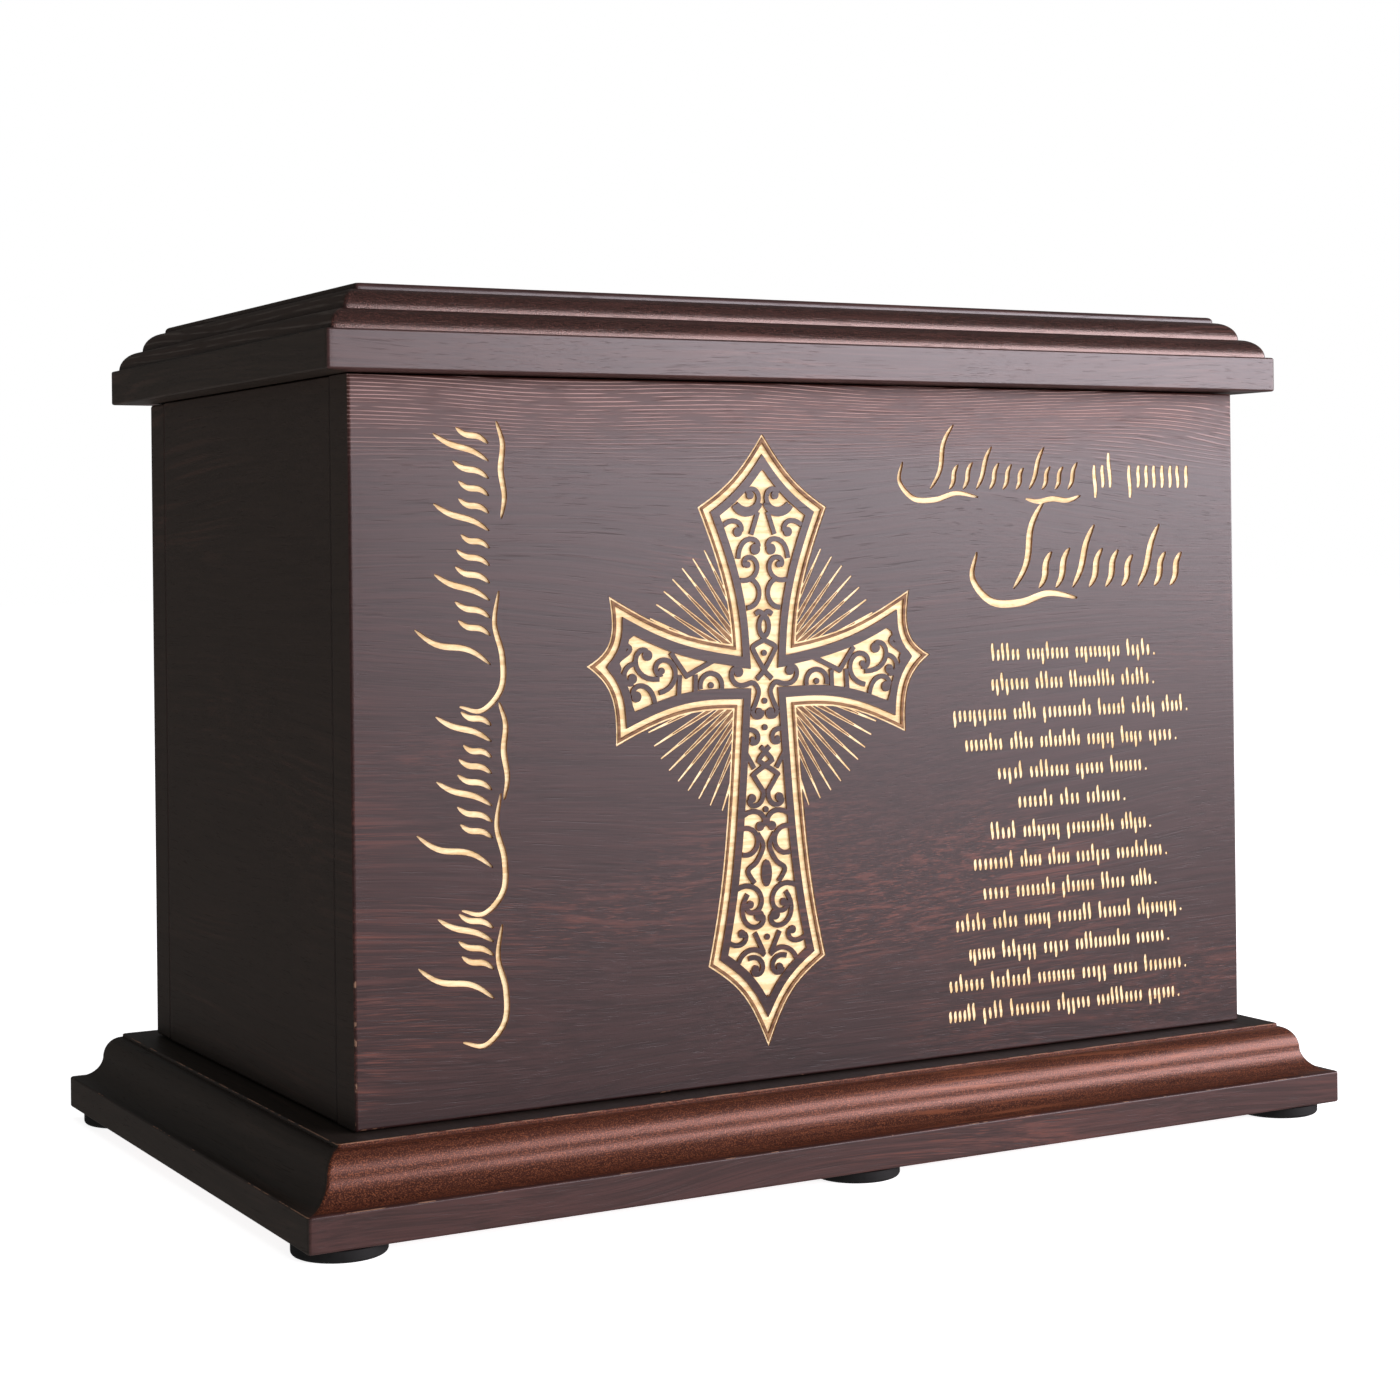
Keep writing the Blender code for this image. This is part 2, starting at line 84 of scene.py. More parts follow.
board_low, board_high = node_box("front_board")
BODY_HALF_X = board_high[0]
BODY_HALF_Y = -board_low[1]
WALL = board_high[1] - board_low[1]
WALL_FOOT, WALL_TOP = board_low[2], board_high[2]
print("body", round(BODY_HALF_X * 2, 1), "x", round(BODY_HALF_Y * 2, 1), "mm")
print("walls", round(WALL, 1), "mm")

# %% [markdown]
# ## The camera
#
# A camera is a place, a direction and a lens. These numbers were solved from the corners of the
# box in the photograph. The camera stands left of the middle and a little below the lid, looks
# almost level, and the picture is shifted so that upright edges stay upright, as a product
# photographer does it.

# %% Camera
CAMERA_PLACE = (-308.1, -549.3, 136.04)
YAW, PITCH, ROLL = (math.radians(a) for a in (29.44, 0.125, -0.640))
FOCAL_PIXELS, IMAGE_PIXELS, SENSOR = 2644.9, 1400, 36.0
AXIS_ABOVE_MIDDLE = 161.9


def camera_turn():
    """Rotation with columns picture right, picture up and backwards, from yaw, pitch and roll."""
    ahead = Vector((math.sin(YAW) * math.cos(PITCH), math.cos(YAW) * math.cos(PITCH),
                    math.sin(PITCH)))
    level = Vector((math.cos(YAW), -math.sin(YAW), 0.0))
    upright = level.cross(ahead)
    right = level * math.cos(ROLL) + upright * math.sin(ROLL)
    up = upright * math.cos(ROLL) - level * math.sin(ROLL)
    return Matrix((right, up, -ahead)).transposed()


lens = bpy.data.cameras.new("camera")
lens.sensor_width = SENSOR
lens.lens = FOCAL_PIXELS / IMAGE_PIXELS * SENSOR
lens.shift_y = -AXIS_ABOVE_MIDDLE / IMAGE_PIXELS
lens.clip_start, lens.clip_end = 0.01, 50.0
camera = into_scene("camera", lens)
camera.matrix_world = Matrix.Translation(Vector(CAMERA_PLACE) * MM) @ camera_turn().to_4x4()
bpy.context.scene.camera = camera
bpy.context.scene.view_settings.view_transform = "Standard"
print("lens", round(lens.lens, 2), "mm")

# %% [markdown]
# ## Wiring a finish
#
# A finish is a small graph of nodes. One helper adds a node and wires its inputs in one line, so
# that each finish below reads as a recipe. Colours are written as red, green and blue. Every
# pattern reads Object coordinates: the pieces stay unturned at the origin, so one metre of
# pattern is one metre of wood.

# %% Helpers for nodes


def wire(tree, node, inputs):
    """Links each input of a node to an output, or sets it to a number, a vector or a colour."""
    for name, value in inputs.items():
        socket = node.inputs[name]
        if isinstance(value, bpy.types.NodeSocket):
            tree.links.new(value, socket)
        else:
            socket.default_value = (*value, 1.0) if socket.type == "RGBA" else value


def add(tree, kind, inputs=None, **settings):
    """Adds a node, sets its properties, and wires its inputs."""
    node = tree.nodes.new("ShaderNode" + kind)
    for name, value in settings.items():
        setattr(node, name, value)
    wire(tree, node, inputs or {})
    return node


def new_finish(name):
    """A material, its tree, its Principled shader and the Object coordinates."""
    material = bpy.data.materials.new(name)
    material.use_nodes = True
    tree = material.node_tree
    return material, tree, tree.nodes["Principled BSDF"], add(tree, "TexCoord").outputs["Object"]


def stretched_noise(tree, where, cycles, detail=2.0, roughness=0.5):
    """Noise with its own number of cycles per metre along X, Y and Z; it runs from 0 to 1."""
    spread = add(tree, "Mapping", {"Vector": where, "Scale": cycles}).outputs["Vector"]
    return add(tree, "TexNoise", {"Vector": spread, "Scale": 1.0, "Detail": detail,
                                  "Roughness": roughness}).outputs["Fac"]


def step_between(tree, value, low, high, top=1.0):
    """Smooth step: 0 below low, top above high."""
    return add(tree, "MapRange", {"Value": value, "From Min": low, "From Max": high,
                                  "To Min": 0.0, "To Max": top},
               interpolation_type="SMOOTHSTEP").outputs["Result"]


def sum_of(tree, first, second, share=1.0):
    """first + second * share."""
    return add(tree, "Math", {0: second, 1: share, 2: first}, operation="MULTIPLY_ADD").outputs[0]


def product(tree, first, second):
    """first * second."""
    return add(tree, "Math", {0: first, 1: second}, operation="MULTIPLY").outputs[0]


def height_of(tree, where):
    """The Z of a place."""
    return add(tree, "SeparateXYZ", {"Vector": where}).outputs["Z"]


def blend_colours(tree, share, under, over):
    """A mix of two colours, or of what two nodes give; 6 and 7 are its two colour inputs."""
    return add(tree, "Mix", {"Factor": share, 6: under, 7: over}, data_type="RGBA").outputs[2]


def bumped(tree, height, distance, strength=1.0):
    """Normals of a surface that rises by `distance` millimetres where the height is 1."""
    return add(tree, "Bump", {"Strength": strength, "Distance": distance * MM,
                              "Height": height}).outputs["Normal"]


# %% [markdown]
# ## Stained wood
#
# The boards are a light timber under a thin red-brown stain and a satin lacquer. Four things show
# on such wood: slow rings that bend, fine fibres along the board, short dark pores, and streaks
# where the stain soaked in less. Each is one noise that is stretched along the grain, and the
# rings bend because a slow noise pushes the coordinates first. The same heights also drive the
# bump, so that light catches the raised grain.
#
# Some places show more. Near the top of the front, brushed grain stands up in fine lines whose
# pale colour is a painted glint, and that band of the front is painted lighter and redder, a
# painted highlight of the soft box.
# The front, the back and the base's band have short red flecks. The routed rounds are speckled,
# since sanding opened their pores, and their lacquer shines warm, so they get a tinted gloss.
# The short sides of lid and base are darker end wood. Edges that rub go pale in small chips:
# pieces carry an attribute named arris that says where their edges are. On the base's step and
# the upper edge of its band the chips are also a painted highlight, a pale line where the edge
# catches the light.

# %% Recipe of the stained wood
# The first of these colours is pale wood where edges rub, and on the base's step and band edge also
# a painted highlight line.
# The last of these colours is a painted glint: the pale colour of the ridges of raised grain.
CHIP_AND_HIGHLIGHT, FLECK, RIDGE_GLINT = (0.24, 0.13, 0.08), (0.17, 0.045, 0.026), (0.48, 0.30, 0.27)
ALONG_X, ALONG_Y = (26, 3000, 3000), (3000, 26, 3000)
BEND, RELIEF = 0.02, 0.02


def bent_place(tree, place, along):
    """place + BEND * (n - 1/2) in metres, with n a slow noise: it makes the rings wander."""
    slow = add(tree, "Mapping", {"Vector": place, "Scale": 7.0 + along / along.max() * 13})
    push = add(tree, "TexNoise", {"Vector": slow.outputs["Vector"], "Scale": 1.0, "Detail": 1.0})
    centred = add(tree, "VectorMath", {0: push.outputs["Color"], 1: (0.5, 0.5, 0.5)},
                  operation="SUBTRACT")
    return add(tree, "VectorMath", {0: centred.outputs[0], 1: (BEND, BEND, BEND), 2: place},
               operation="MULTIPLY_ADD").outputs[0]


def raised_lines(tree, place, bent, start, full, pitch):
    """Zone above a height, and its ridges: step(sin(2 pi z / pitch + 9 n)), z bent, n slow."""
    zone = step_between(tree, height_of(tree, place), start, full)
    wander = stretched_noise(tree, place, (22, 22, 260), 1.0)
    rise = product(tree, height_of(tree, bent), 2 * math.pi / (pitch * MM))
    wave = add(tree, "Math", {0: sum_of(tree, rise, wander, 9.0)}, operation="SINE").outputs[0]
    broken = step_between(tree, stretched_noise(tree, place, (80, 80, 500), 2.0), 0.34, 0.58)
    lines = product(tree, step_between(tree, wave, 0.35, 1.0), broken)
    return zone, product(tree, lines, zone)


def stained_wood(name, dark, middle, streak_and_highlight, along=ALONG_X, gloss=0.40, shine=0.5, tint=1.0,
                 raised=None, ridge_and_glint_colour=RIDGE_GLINT, flecks=0.0, speckle=0.0):
    """Stained wood; `along` gives the cycles per metre of its lines, fewest where the grain runs.

    `raised` gives the heights where raised lines begin and are full, in metres, and their pitch
    in millimetres. Above those heights the colour is painted lighter and the ridges take their own
    colour: on the front this is painted light, the soft box's highlight with a painted glint on
    each ridge, and on the end wood it makes the rounds at the lid's ends paler. `flecks` and
    `speckle` are shares, and `tint` below 1 reddens the gloss."""
    material, tree, shader, place = new_finish(name)
    along = np.array(along, float)
    bent = bent_place(tree, place, along)
    rings = stretched_noise(tree, bent, along * 0.36, 2.0, 0.55)
    fibres = stretched_noise(tree, bent, along * 1.1, 2.0, 0.6)
    pores = step_between(tree, stretched_noise(tree, bent, along * 1.3 + 60, 1.0), 0.64, 0.72)
    clouds = stretched_noise(tree, place, 8 + along / along.max() * 18, 2.0)
    figure = sum_of(tree, product(tree, rings, 0.5), fibres, 0.5)
    colour = blend_colours(tree, step_between(tree, figure, 0.34, 0.66), dark, middle)
    streaks = product(tree, step_between(tree, rings, 0.50, 0.70),
                      step_between(tree, clouds, 0.46, 0.66, 0.8))
    colour = blend_colours(tree, streaks, colour, streak_and_highlight)
    colour = blend_colours(tree, product(tree, pores, 0.5), colour, dark)
    height = sum_of(tree, figure, pores, -0.4)
    rough = sum_of(tree, gloss - 0.04, fibres, 0.08)
    if flecks:
        short = step_between(tree, stretched_noise(tree, bent, along * 1.25 + 55, 2.0), 0.54, 0.68)
        share = product(tree, short, step_between(tree, clouds, 0.46, 0.64, flecks))
        colour = blend_colours(tree, share, colour, FLECK)
    if raised is not None:
        zone, ridges = raised_lines(tree, place, bent, *raised)
        # Painted light on the front: the zone is painted lighter towards the streak colour, a
        # painted highlight of the soft box, and the ridges take a painted glint; on the end wood
        # they make the rounds at the lid's ends paler. The bump and the roughness that follow are
        # the relief.
        colour = blend_colours(tree, product(tree, zone, 0.4), colour, streak_and_highlight)
        colour = blend_colours(tree, product(tree, ridges, 0.7), colour, ridge_and_glint_colour)
        height = sum_of(tree, height, ridges, 3.0)
        rough = sum_of(tree, rough, zone, 0.12)
    if speckle:
        grit = stretched_noise(tree, place, (3600, 3900, 3900), 1.0)
        colour = blend_colours(tree, step_between(tree, grit, 0.46, 0.68, speckle), colour, streak_and_highlight)
        height = sum_of(tree, height, grit, 1.5 * speckle)
    arris = add(tree, "Attribute", attribute_name="arris").outputs["Fac"]
    # Pale chips where edges rub; on the base's step and band edge they are also a painted highlight
    # line.
    chip_and_highlight_mask = sum_of(tree, stretched_noise(tree, place, (300, 300, 300), 3.0), arris, 0.5)
    wire(tree, shader, {
        "Base Color": blend_colours(tree, step_between(tree, chip_and_highlight_mask, 1.08, 1.12), colour, CHIP_AND_HIGHLIGHT),
        "Roughness": sum_of(tree, rough, pores, 0.12), "Normal": bumped(tree, height, RELIEF),
        "Specular IOR Level": shine, "Specular Tint": (1.0, tint, tint * (0.6 + 0.4 * tint))})
    return material


front_wood = stained_wood(
    "front stained wood", (0.020, 0.007, 0.006), (0.039, 0.0135, 0.012), (0.105, 0.030, 0.020),
    gloss=0.37, raised=(0.149, 0.1705, 0.85), flecks=0.45)
back_wood = stained_wood(
    "back stained wood", (0.024, 0.009, 0.008), (0.046, 0.017, 0.015), (0.090, 0.030, 0.022),
    flecks=0.5)
side_wood = stained_wood(
    "side stained wood", (0.018, 0.011, 0.008), (0.024, 0.0145, 0.0105), (0.040, 0.019, 0.013),
    along=ALONG_Y, gloss=0.5)
lid_wood = stained_wood(
    "lid stained wood", (0.030, 0.012, 0.011), (0.050, 0.020, 0.017), (0.085, 0.033, 0.026),
    gloss=0.37, shine=0.55)
lid_round_wood = stained_wood(
    "lid moulding stained wood", (0.008, 0.003, 0.0025), (0.016, 0.006, 0.005),
    (0.075, 0.030, 0.024), gloss=0.28, shine=0.75, tint=0.75, speckle=1.0)
end_wood = stained_wood(
    "end stained wood", (0.018, 0.0125, 0.0095), (0.027, 0.018, 0.0135), (0.042, 0.024, 0.018),
    along=ALONG_Y, gloss=0.5, shine=0.45, raised=(0.1785, 0.1800, 1.9),
    ridge_and_glint_colour=(0.085, 0.066, 0.056))
base_wood = stained_wood(
    "base stained wood", (0.022, 0.007, 0.005), (0.048, 0.015, 0.010), (0.180, 0.058, 0.027),
    gloss=0.31, tint=0.55, speckle=0.9)
band_wood = stained_wood(
    "base band stained wood", (0.030, 0.012, 0.010), (0.056, 0.020, 0.017), (0.110, 0.036, 0.026),
    shine=0.42, flecks=0.45)
print("stained finishes:", len([m for m in bpy.data.materials if m.name.endswith("wood")]))

# %% [markdown]
# ## Bare and burnt wood in the engraving
#
# The laser takes the stain away down to the pale timber, whose growth lines show as tan stripes.
# Its heat leaves the steep edges dark brown, and browns the narrow strips that stand between two
# cuts. So the front board has four finishes: stained, bare, burnt and browned.

# %% Recipe of the laser's finishes


def lasered_wood(name, pale, tan, roughness):
    """Bare wood: pale with tan growth lines along X."""
    material, tree, shader, place = new_finish(name)
    lines = stretched_noise(tree, place, (30, 700, 800), 2.0, 0.6)
    specks = stretched_noise(tree, place, (700, 1500, 1500), 2.0)
    figure = sum_of(tree, product(tree, lines, 0.7), specks, 0.3)
    wire(tree, shader, {
        "Base Color": blend_colours(tree, step_between(tree, figure, 0.40, 0.62), pale, tan),
        "Roughness": roughness, "Specular IOR Level": 0.3, "Normal": bumped(tree, figure, 0.06)})
    return material


bare_wood = lasered_wood("bare pale wood", (0.95, 0.76, 0.45), (0.76, 0.53, 0.26), 0.6)
burnt_wood = lasered_wood("burnt edge wood", (0.30, 0.14, 0.05), (0.16, 0.07, 0.025), 0.7)
browned_wood = lasered_wood("browned strip wood", (0.24, 0.12, 0.045), (0.12, 0.05, 0.02), 0.55)
print("engraving finishes:", bare_wood.name, burnt_wood.name, browned_wood.name)

# %% [markdown]
# ## Rubber
#
# The feet are moulded pads of matte black rubber with a fine grain. A small even noise in the
# bump and in the roughness keeps them from looking like black holes.

# %% Recipe of the rubber


def matte_rubber():
    """Black rubber with a fine speckle."""
    material, tree, shader, place = new_finish("matte black rubber")
    speckle = stretched_noise(tree, place, (1500, 1500, 1500), 2.0)
    wire(tree, shader, {
        "Base Color": blend_colours(tree, speckle, (0.003, 0.003, 0.003), (0.011, 0.011, 0.011)),
        "Roughness": sum_of(tree, 0.62, speckle, 0.25), "Specular IOR Level": 0.3,
        "Normal": bumped(tree, speckle, 0.05, 0.5)})
    return material


rubber = matte_rubber()

# %% [markdown]
# ## Putting a surface into Blender
#
# Every piece ends the same way: an array of points, arrays of faces, and finishes. One helper
# writes the mesh, marks creases by their angle, and weighs the normals by area, so that flat
# boards stay flat in the light right up to their small rounded edges. It also hides the solid
# that the piece stands for, whose name is the piece's without _surface.

# %% Helper that writes a piece
CREASE = math.radians(38)


def write_piece(name, points, face_sets, finishes, record_slot, finish_of=None, arris=None):
    """Makes the mesh from points in mm and a list of face arrays, and rides it on the body.

    `finish_of` numbers the finish of each face, and `arris` tells how much each point has rubbed;
    on the base's step and band edge it also sets a painted highlight line."""
    faces = [face for group in face_sets for face in np.asarray(group).tolist()]
    mesh = bpy.data.meshes.new(name)
    mesh.from_pydata((np.asarray(points) * MM).tolist(), [], faces)
    for finish in finishes:
        mesh.materials.append(finish)
    if finish_of is not None:
        mesh.polygons.foreach_set("material_index", np.asarray(finish_of, np.int32))
    mesh.polygons.foreach_set("use_smooth", np.ones(len(faces), bool))
    if arris is not None:
        chip_and_highlight_mask = mesh.attributes.new("arris", "FLOAT", "POINT")
        chip_and_highlight_mask.data.foreach_set("value", arris.astype(np.float32))
    mesh.set_sharp_from_angle(angle=CREASE)
    mesh.update()
    piece = into_scene(name, mesh)
    weigh = piece.modifiers.new("normals by area", "WEIGHTED_NORMAL")
    weigh.keep_sharp = True
    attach(piece, "root")
    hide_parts(name.replace("_surface", ""))
    print(name, len(points), "points", sum(len(f) - 2 for f in faces), "triangles")


# %% [markdown]
# ## Profiles carried round the box
#
# The base and the lid are one board each, with a shape routed round all four edges. On the bench
# a router bit follows the edge; here a profile of outward distance and height follows a rounded
# rectangle. The corner of such a moulding is a mitre that sanding has barely rounded, so the path
# has a small corner radius that is the same for every line of the profile.

# %% Path and profile helpers


def turning(first, second):
    """first.x * second.y - first.y * second.x: positive where the second lies to the left."""
    return first[..., 0] * second[..., 1] - first[..., 1] * second[..., 0]


def doubled_area(points, triangles):
    """turning(B - A, C - A) of each triangle A B C: below 0 where it is turned over."""
    a, b, c = (points[triangles[:, k]] for k in range(3))
    return turning(b - a, c - a)


def quarter(centre, radii, start, sweep, count):
    """Arc points centre + radii * (cos a, sin a), a from start to start + sweep degrees.

    `radii` is one number for a circle and two for an ellipse."""
    a = np.radians(start + sweep * np.linspace(0, 1, count))
    return np.array(centre) + np.array(radii) * np.stack([np.cos(a), np.sin(a)], 1)


def eased_band(out, low, high, ease, count=5, last=90):
    """Profile of an upright band with both edges rounded; the upper arc ends at `last` degrees."""
    return np.concatenate([quarter((out - ease, low + ease), ease, -90, 90, count),
                           quarter((out - ease, high - ease), ease, 0, last, count)])


def shell(plan, heights):
    """Points and faces of closed lines stacked at their heights: quads between them, and a flat
    face at each end."""
    lines, count = plan.shape[:2]
    level = np.repeat(heights[:, None], count, 1)[..., None]
    here = np.arange((lines - 1) * count).reshape(lines - 1, count)
    beside = np.roll(here, -1, 1)
    quads = np.stack([here, beside, beside + count, here + count], -1).reshape(-1, 4)
    first = np.arange(count)[None]
    faces = [quads, first[:, ::-1], first + (lines - 1) * count]
    return np.concatenate([plan, level], 2), faces


def corner_path(per_side, per_corner):
    """Closed path round a rectangle: signs (-1..1 along each side), outward directions, and
    whether a point is at a corner."""
    inner = np.linspace(0, 1, per_side)[1:-1]
    share = np.concatenate([[0.0, 0.003], inner, [0.997, 1.0]]) * 2 - 1
    turn = np.linspace(0, np.pi / 2, per_corner)[1:-1]
    signs, outward, corner = [], [], []
    for k in range(4):
        c, s = math.cos(k * math.pi / 2), math.sin(k * math.pi / 2)
        side = np.stack([share, -np.ones_like(share)], 1)
        arc = np.tile([1.0, -1.0], (len(turn), 1))
        facing = np.concatenate([np.tile([0.0, -1.0], (len(share), 1)),
                                 np.stack([np.sin(turn), -np.cos(turn)], 1)])
        spin = np.array([[c, -s], [s, c]])
        signs.append(np.concatenate([side, arc]) @ spin.T)
        outward.append(facing @ spin.T)
        corner.append(np.concatenate([np.abs(share) > 0.995, np.ones(len(turn), bool)]))
    return np.concatenate(signs), np.concatenate(outward), np.concatenate(corner)


def carried_round(half, middle, profile, radius, per_side=24, per_corner=7, wear_and_highlight=None):
    """Closed shell P(u, v) = sign(u) * (half + out(v) - radius) + facing(u) * radius, at z(v).

    The first and last lines of the profile are closed by flat faces. Lines of the profile that are
    outer edges are given a number for how much they rub; on the base's step and band edge it also
    paints a pale highlight line. Corners count as edges too, and the one at the front left, where
    the urn is picked up, rubs most."""
    signs, facing, at_corner = corner_path(per_side, per_corner)
    reach = np.array(half) + profile[:, :1] - radius
    plan = signs[None] * reach[:, None] + facing[None] * radius + np.array(middle)
    points, faces = shell(plan, profile[:, 1])
    on_edge = np.array([(wear_and_highlight or {}).get(line, 0.0) for line in range(len(profile))])
    arris = np.maximum(on_edge[:, None], at_corner[None] * 0.7) * 0.75
    near_corner = (points[..., 0] < -half[0] * 0.9) & (points[..., 1] < -half[1] * 0.75)
    arris = np.where(near_corner, arris * 1.25, arris)
    return points.reshape(-1, 3), faces, arris.ravel()


def finish_numbers(of_line, sideways, of_top, per_side=24, per_corner=7):
    """Finish of each face of a carried shell: one per gap of the profile, `sideways` to the left
    and right, and `of_top` on the flat top."""
    facing = corner_path(per_side, per_corner)[1]
    middle = np.abs(facing + np.roll(facing, -1, 0))
    numbers = np.where(middle[:, 0] > middle[:, 1], sideways, np.asarray(of_line)[:, None])
    return np.concatenate([numbers.ravel(), [of_line[0], of_top]])


print("path points", len(corner_path(24, 7)[0]))

# %% [markdown]
# ## The base
#
# The base is the floor of the box. From its underside up, its edge has a flat band, a tiny nib, a
# hollow, a round and a small step to the ledge on which the walls stand. The two sharp edges of
# the flat band are eased a little, as sandpaper leaves them. Wear is given by the number of the
# profile's line; on the step and the band's upper edge it is also a painted highlight, a pale line
# where the edge catches the light. The first lines, up to the nib, take the finish of the flat
# band.

# %% Base board
EASE, STEP_EASE, MITRE = 0.45, 0.25, 0.8
BODY_HALF = (BODY_HALF_X, BODY_HALF_Y)
base_low, base_high = node_box("base")
BASE_OUT = base_high[0] - BODY_HALF_X
BASE_BAND, HOLLOW, NIB, SWELL, LEDGE = 7.2, 5.7, 0.5, 3.7, 0.8
BASE_BAND_TOP = base_low[2] + BASE_BAND
# Lines 38 and 39 of the step and 7 and 8 of the band's upper edge are set high, so that their chips
# also paint a pale highlight line.
BASE_WEAR_AND_HIGHLIGHT = {2: 1.1, 7: 1.3, 8: 1.3, 38: 1.6, 39: 1.6}
BAND_LINES = 11


def base_profile():
    """Outward distance and height of the base's edge, from the underside up."""
    band = eased_band(BASE_OUT, base_low[2], BASE_BAND_TOP, EASE, last=75)
    hollow = quarter((BASE_OUT - NIB, BASE_BAND_TOP + HOLLOW), HOLLOW, 270, -82, 14)
    lean_out, lean_height = hollow[-1]
    rise = base_high[2] - LEDGE - lean_height
    swell = quarter((lean_out - SWELL, lean_height), (SWELL, rise), 0, 90, 14)[1:]
    step = quarter((swell[-1, 0] - STEP_EASE, base_high[2] - STEP_EASE), STEP_EASE, 0, 90, 4)
    return np.concatenate([band, hollow, swell, step])


base_line = base_profile()
base_points, base_faces, base_arris = carried_round(BODY_HALF, (0, 0), base_line, MITRE,
                                                    wear_and_highlight=BASE_WEAR_AND_HIGHLIGHT)
on_band = (np.arange(len(base_line) - 1) < BAND_LINES).astype(int)
write_piece("base_surface", base_points, base_faces, [base_wood, band_wood, end_wood], "base_wood",
            finish_of=finish_numbers(on_band, 2, 2), arris=base_arris)

# %% [markdown]
# ## The lid
#
# The lid is a routed board like the base: a flat band below, then two quarter rounds that step
# back to the flat top. A shallow tongue underneath drops between the walls, so it can't slide
# off. The profile starts at the tongue and goes out and up. Its rounds have their own finish.

# %% Lid board
lid_low, lid_high = node_box("lid")
LID_OUT = lid_high[0] - BODY_HALF_X
LID_THICKNESS, LID_BAND, TONGUE_PLAY, TONGUE_EASE = 18.0, 8.0, 1.0, 0.8
LID_FOOT = lid_high[2] - LID_THICKNESS
LID_BAND_TOP = LID_FOOT + LID_BAND
TONGUE_OUT = -WALL - TONGUE_PLAY
LID_STEP, LOWER_ROUND, UPPER_ROUND, TOP_ROUND = 1.4, 4.4, 4.25, 1.0
LID_WEAR = {5: 1.0, 10: 1.0}
ROUND_LINES = range(13, 39)


def lid_profile():
    """Outward distance and height of the lid's edge, from the tongue's underside up."""
    tongue = np.array([(TONGUE_OUT - TONGUE_EASE, lid_low[2]),
                       (TONGUE_OUT, lid_low[2] + TONGUE_EASE), (TONGUE_OUT, LID_FOOT)])
    band = eased_band(LID_OUT, LID_FOOT, LID_BAND_TOP, EASE)
    lower = quarter((LID_OUT - LID_STEP - LOWER_ROUND, LID_BAND_TOP), LOWER_ROUND, 0, 90, 14)
    upper = quarter((lower[-1, 0] - UPPER_ROUND, lower[-1, 1]), UPPER_ROUND, 0, 90, 14)
    top = quarter((upper[-1, 0] - TOP_ROUND, lid_high[2] - TOP_ROUND), TOP_ROUND, 0, 90, 7)
    return np.concatenate([tongue, band, lower, upper[1:], top])


lid_line = lid_profile()
lid_points, lid_faces, lid_arris = carried_round(BODY_HALF, (0, 0), lid_line, MITRE, wear_and_highlight=LID_WEAR)
on_rounds = np.isin(np.arange(len(lid_line) - 1), ROUND_LINES).astype(int)
write_piece("lid_surface", lid_points, lid_faces, [lid_wood, lid_round_wood, end_wood], "lid_wood",
            finish_of=finish_numbers(on_rounds, 2, 0), arris=lid_arris)

# %% [markdown]
# ## Back and side boards
#
# The back board covers the ends of the two side boards, so a narrow strip of end wood shows
# beside each upright corner. Each board is the same shell as the mouldings with a very short
# profile: an eased lower edge and an eased upper edge.

# %% Plain boards


def plain_board(node, finish, radius, per_side=6, per_corner=5):
    """A board with eased edges that fills the solid's own box."""
    low, high = node_box(node)
    half, middle = (high - low) / 2, (high + low) / 2
    line = eased_band(0, low[2], high[2], radius, 4)
    points, faces, _ = carried_round(half[:2], middle[:2], line, radius, per_side, per_corner)
    finish_of = finish_numbers(np.zeros(len(line) - 1, int), 1, 0, per_side, per_corner)
    write_piece(node + "_surface", points, faces, [finish, side_wood], "stained_wood",
                finish_of=finish_of)


plain_board("back_board", back_wood, 0.6)
plain_board("left_board", side_wood, 0.3)
plain_board("right_board", side_wood, 0.3)

# %% [markdown]
# ## Feet
#
# Six round rubber pads are turned shapes: one profile, carried round a circle. The foot's lower
# edge is round and its upper edge has a fine lip.

# %% Rubber pads


def turned(middle, profile, count=48):
    """Closed shell P(u, v) = middle + radius(v) * (cos u, sin u), at height z(v)."""
    u = np.linspace(0, 2 * np.pi, count, endpoint=False)
    ring = np.stack([np.cos(u), np.sin(u)], 1)
    plan = np.array(middle) + profile[:, 0, None, None] * ring[None]
    points, faces = shell(plan, profile[:, 1])
    return points.reshape(-1, 3), faces


PAD_ROUND, PAD_LIP = 0.8, 0.25
for pad in sorted(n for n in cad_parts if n.startswith("foot_")):
    pad_low, pad_high = node_box(pad)
    pad_middle, pad_radius = (pad_low + pad_high)[:2] / 2, (pad_high - pad_low)[0] / 2
    pad_line = np.concatenate([
        quarter((pad_radius - PAD_ROUND, PAD_ROUND), PAD_ROUND, -90, 90, 6),
        quarter((pad_radius - PAD_LIP, pad_high[2] - PAD_LIP), PAD_LIP, 0, 90, 4)])
    write_piece(pad + "_surface", *turned(pad_middle, pad_line), [rubber], "foot_rubber")

# %% [markdown]
# ## The outline of the cross
#
# The cross is drawn on the flat of the front board, in millimetres from its crossing. Its right
# half has eight edges, each a cubic curve that hugs a bend, and the left half mirrors it. Thin
# line, band and field are the same loop moved inward.

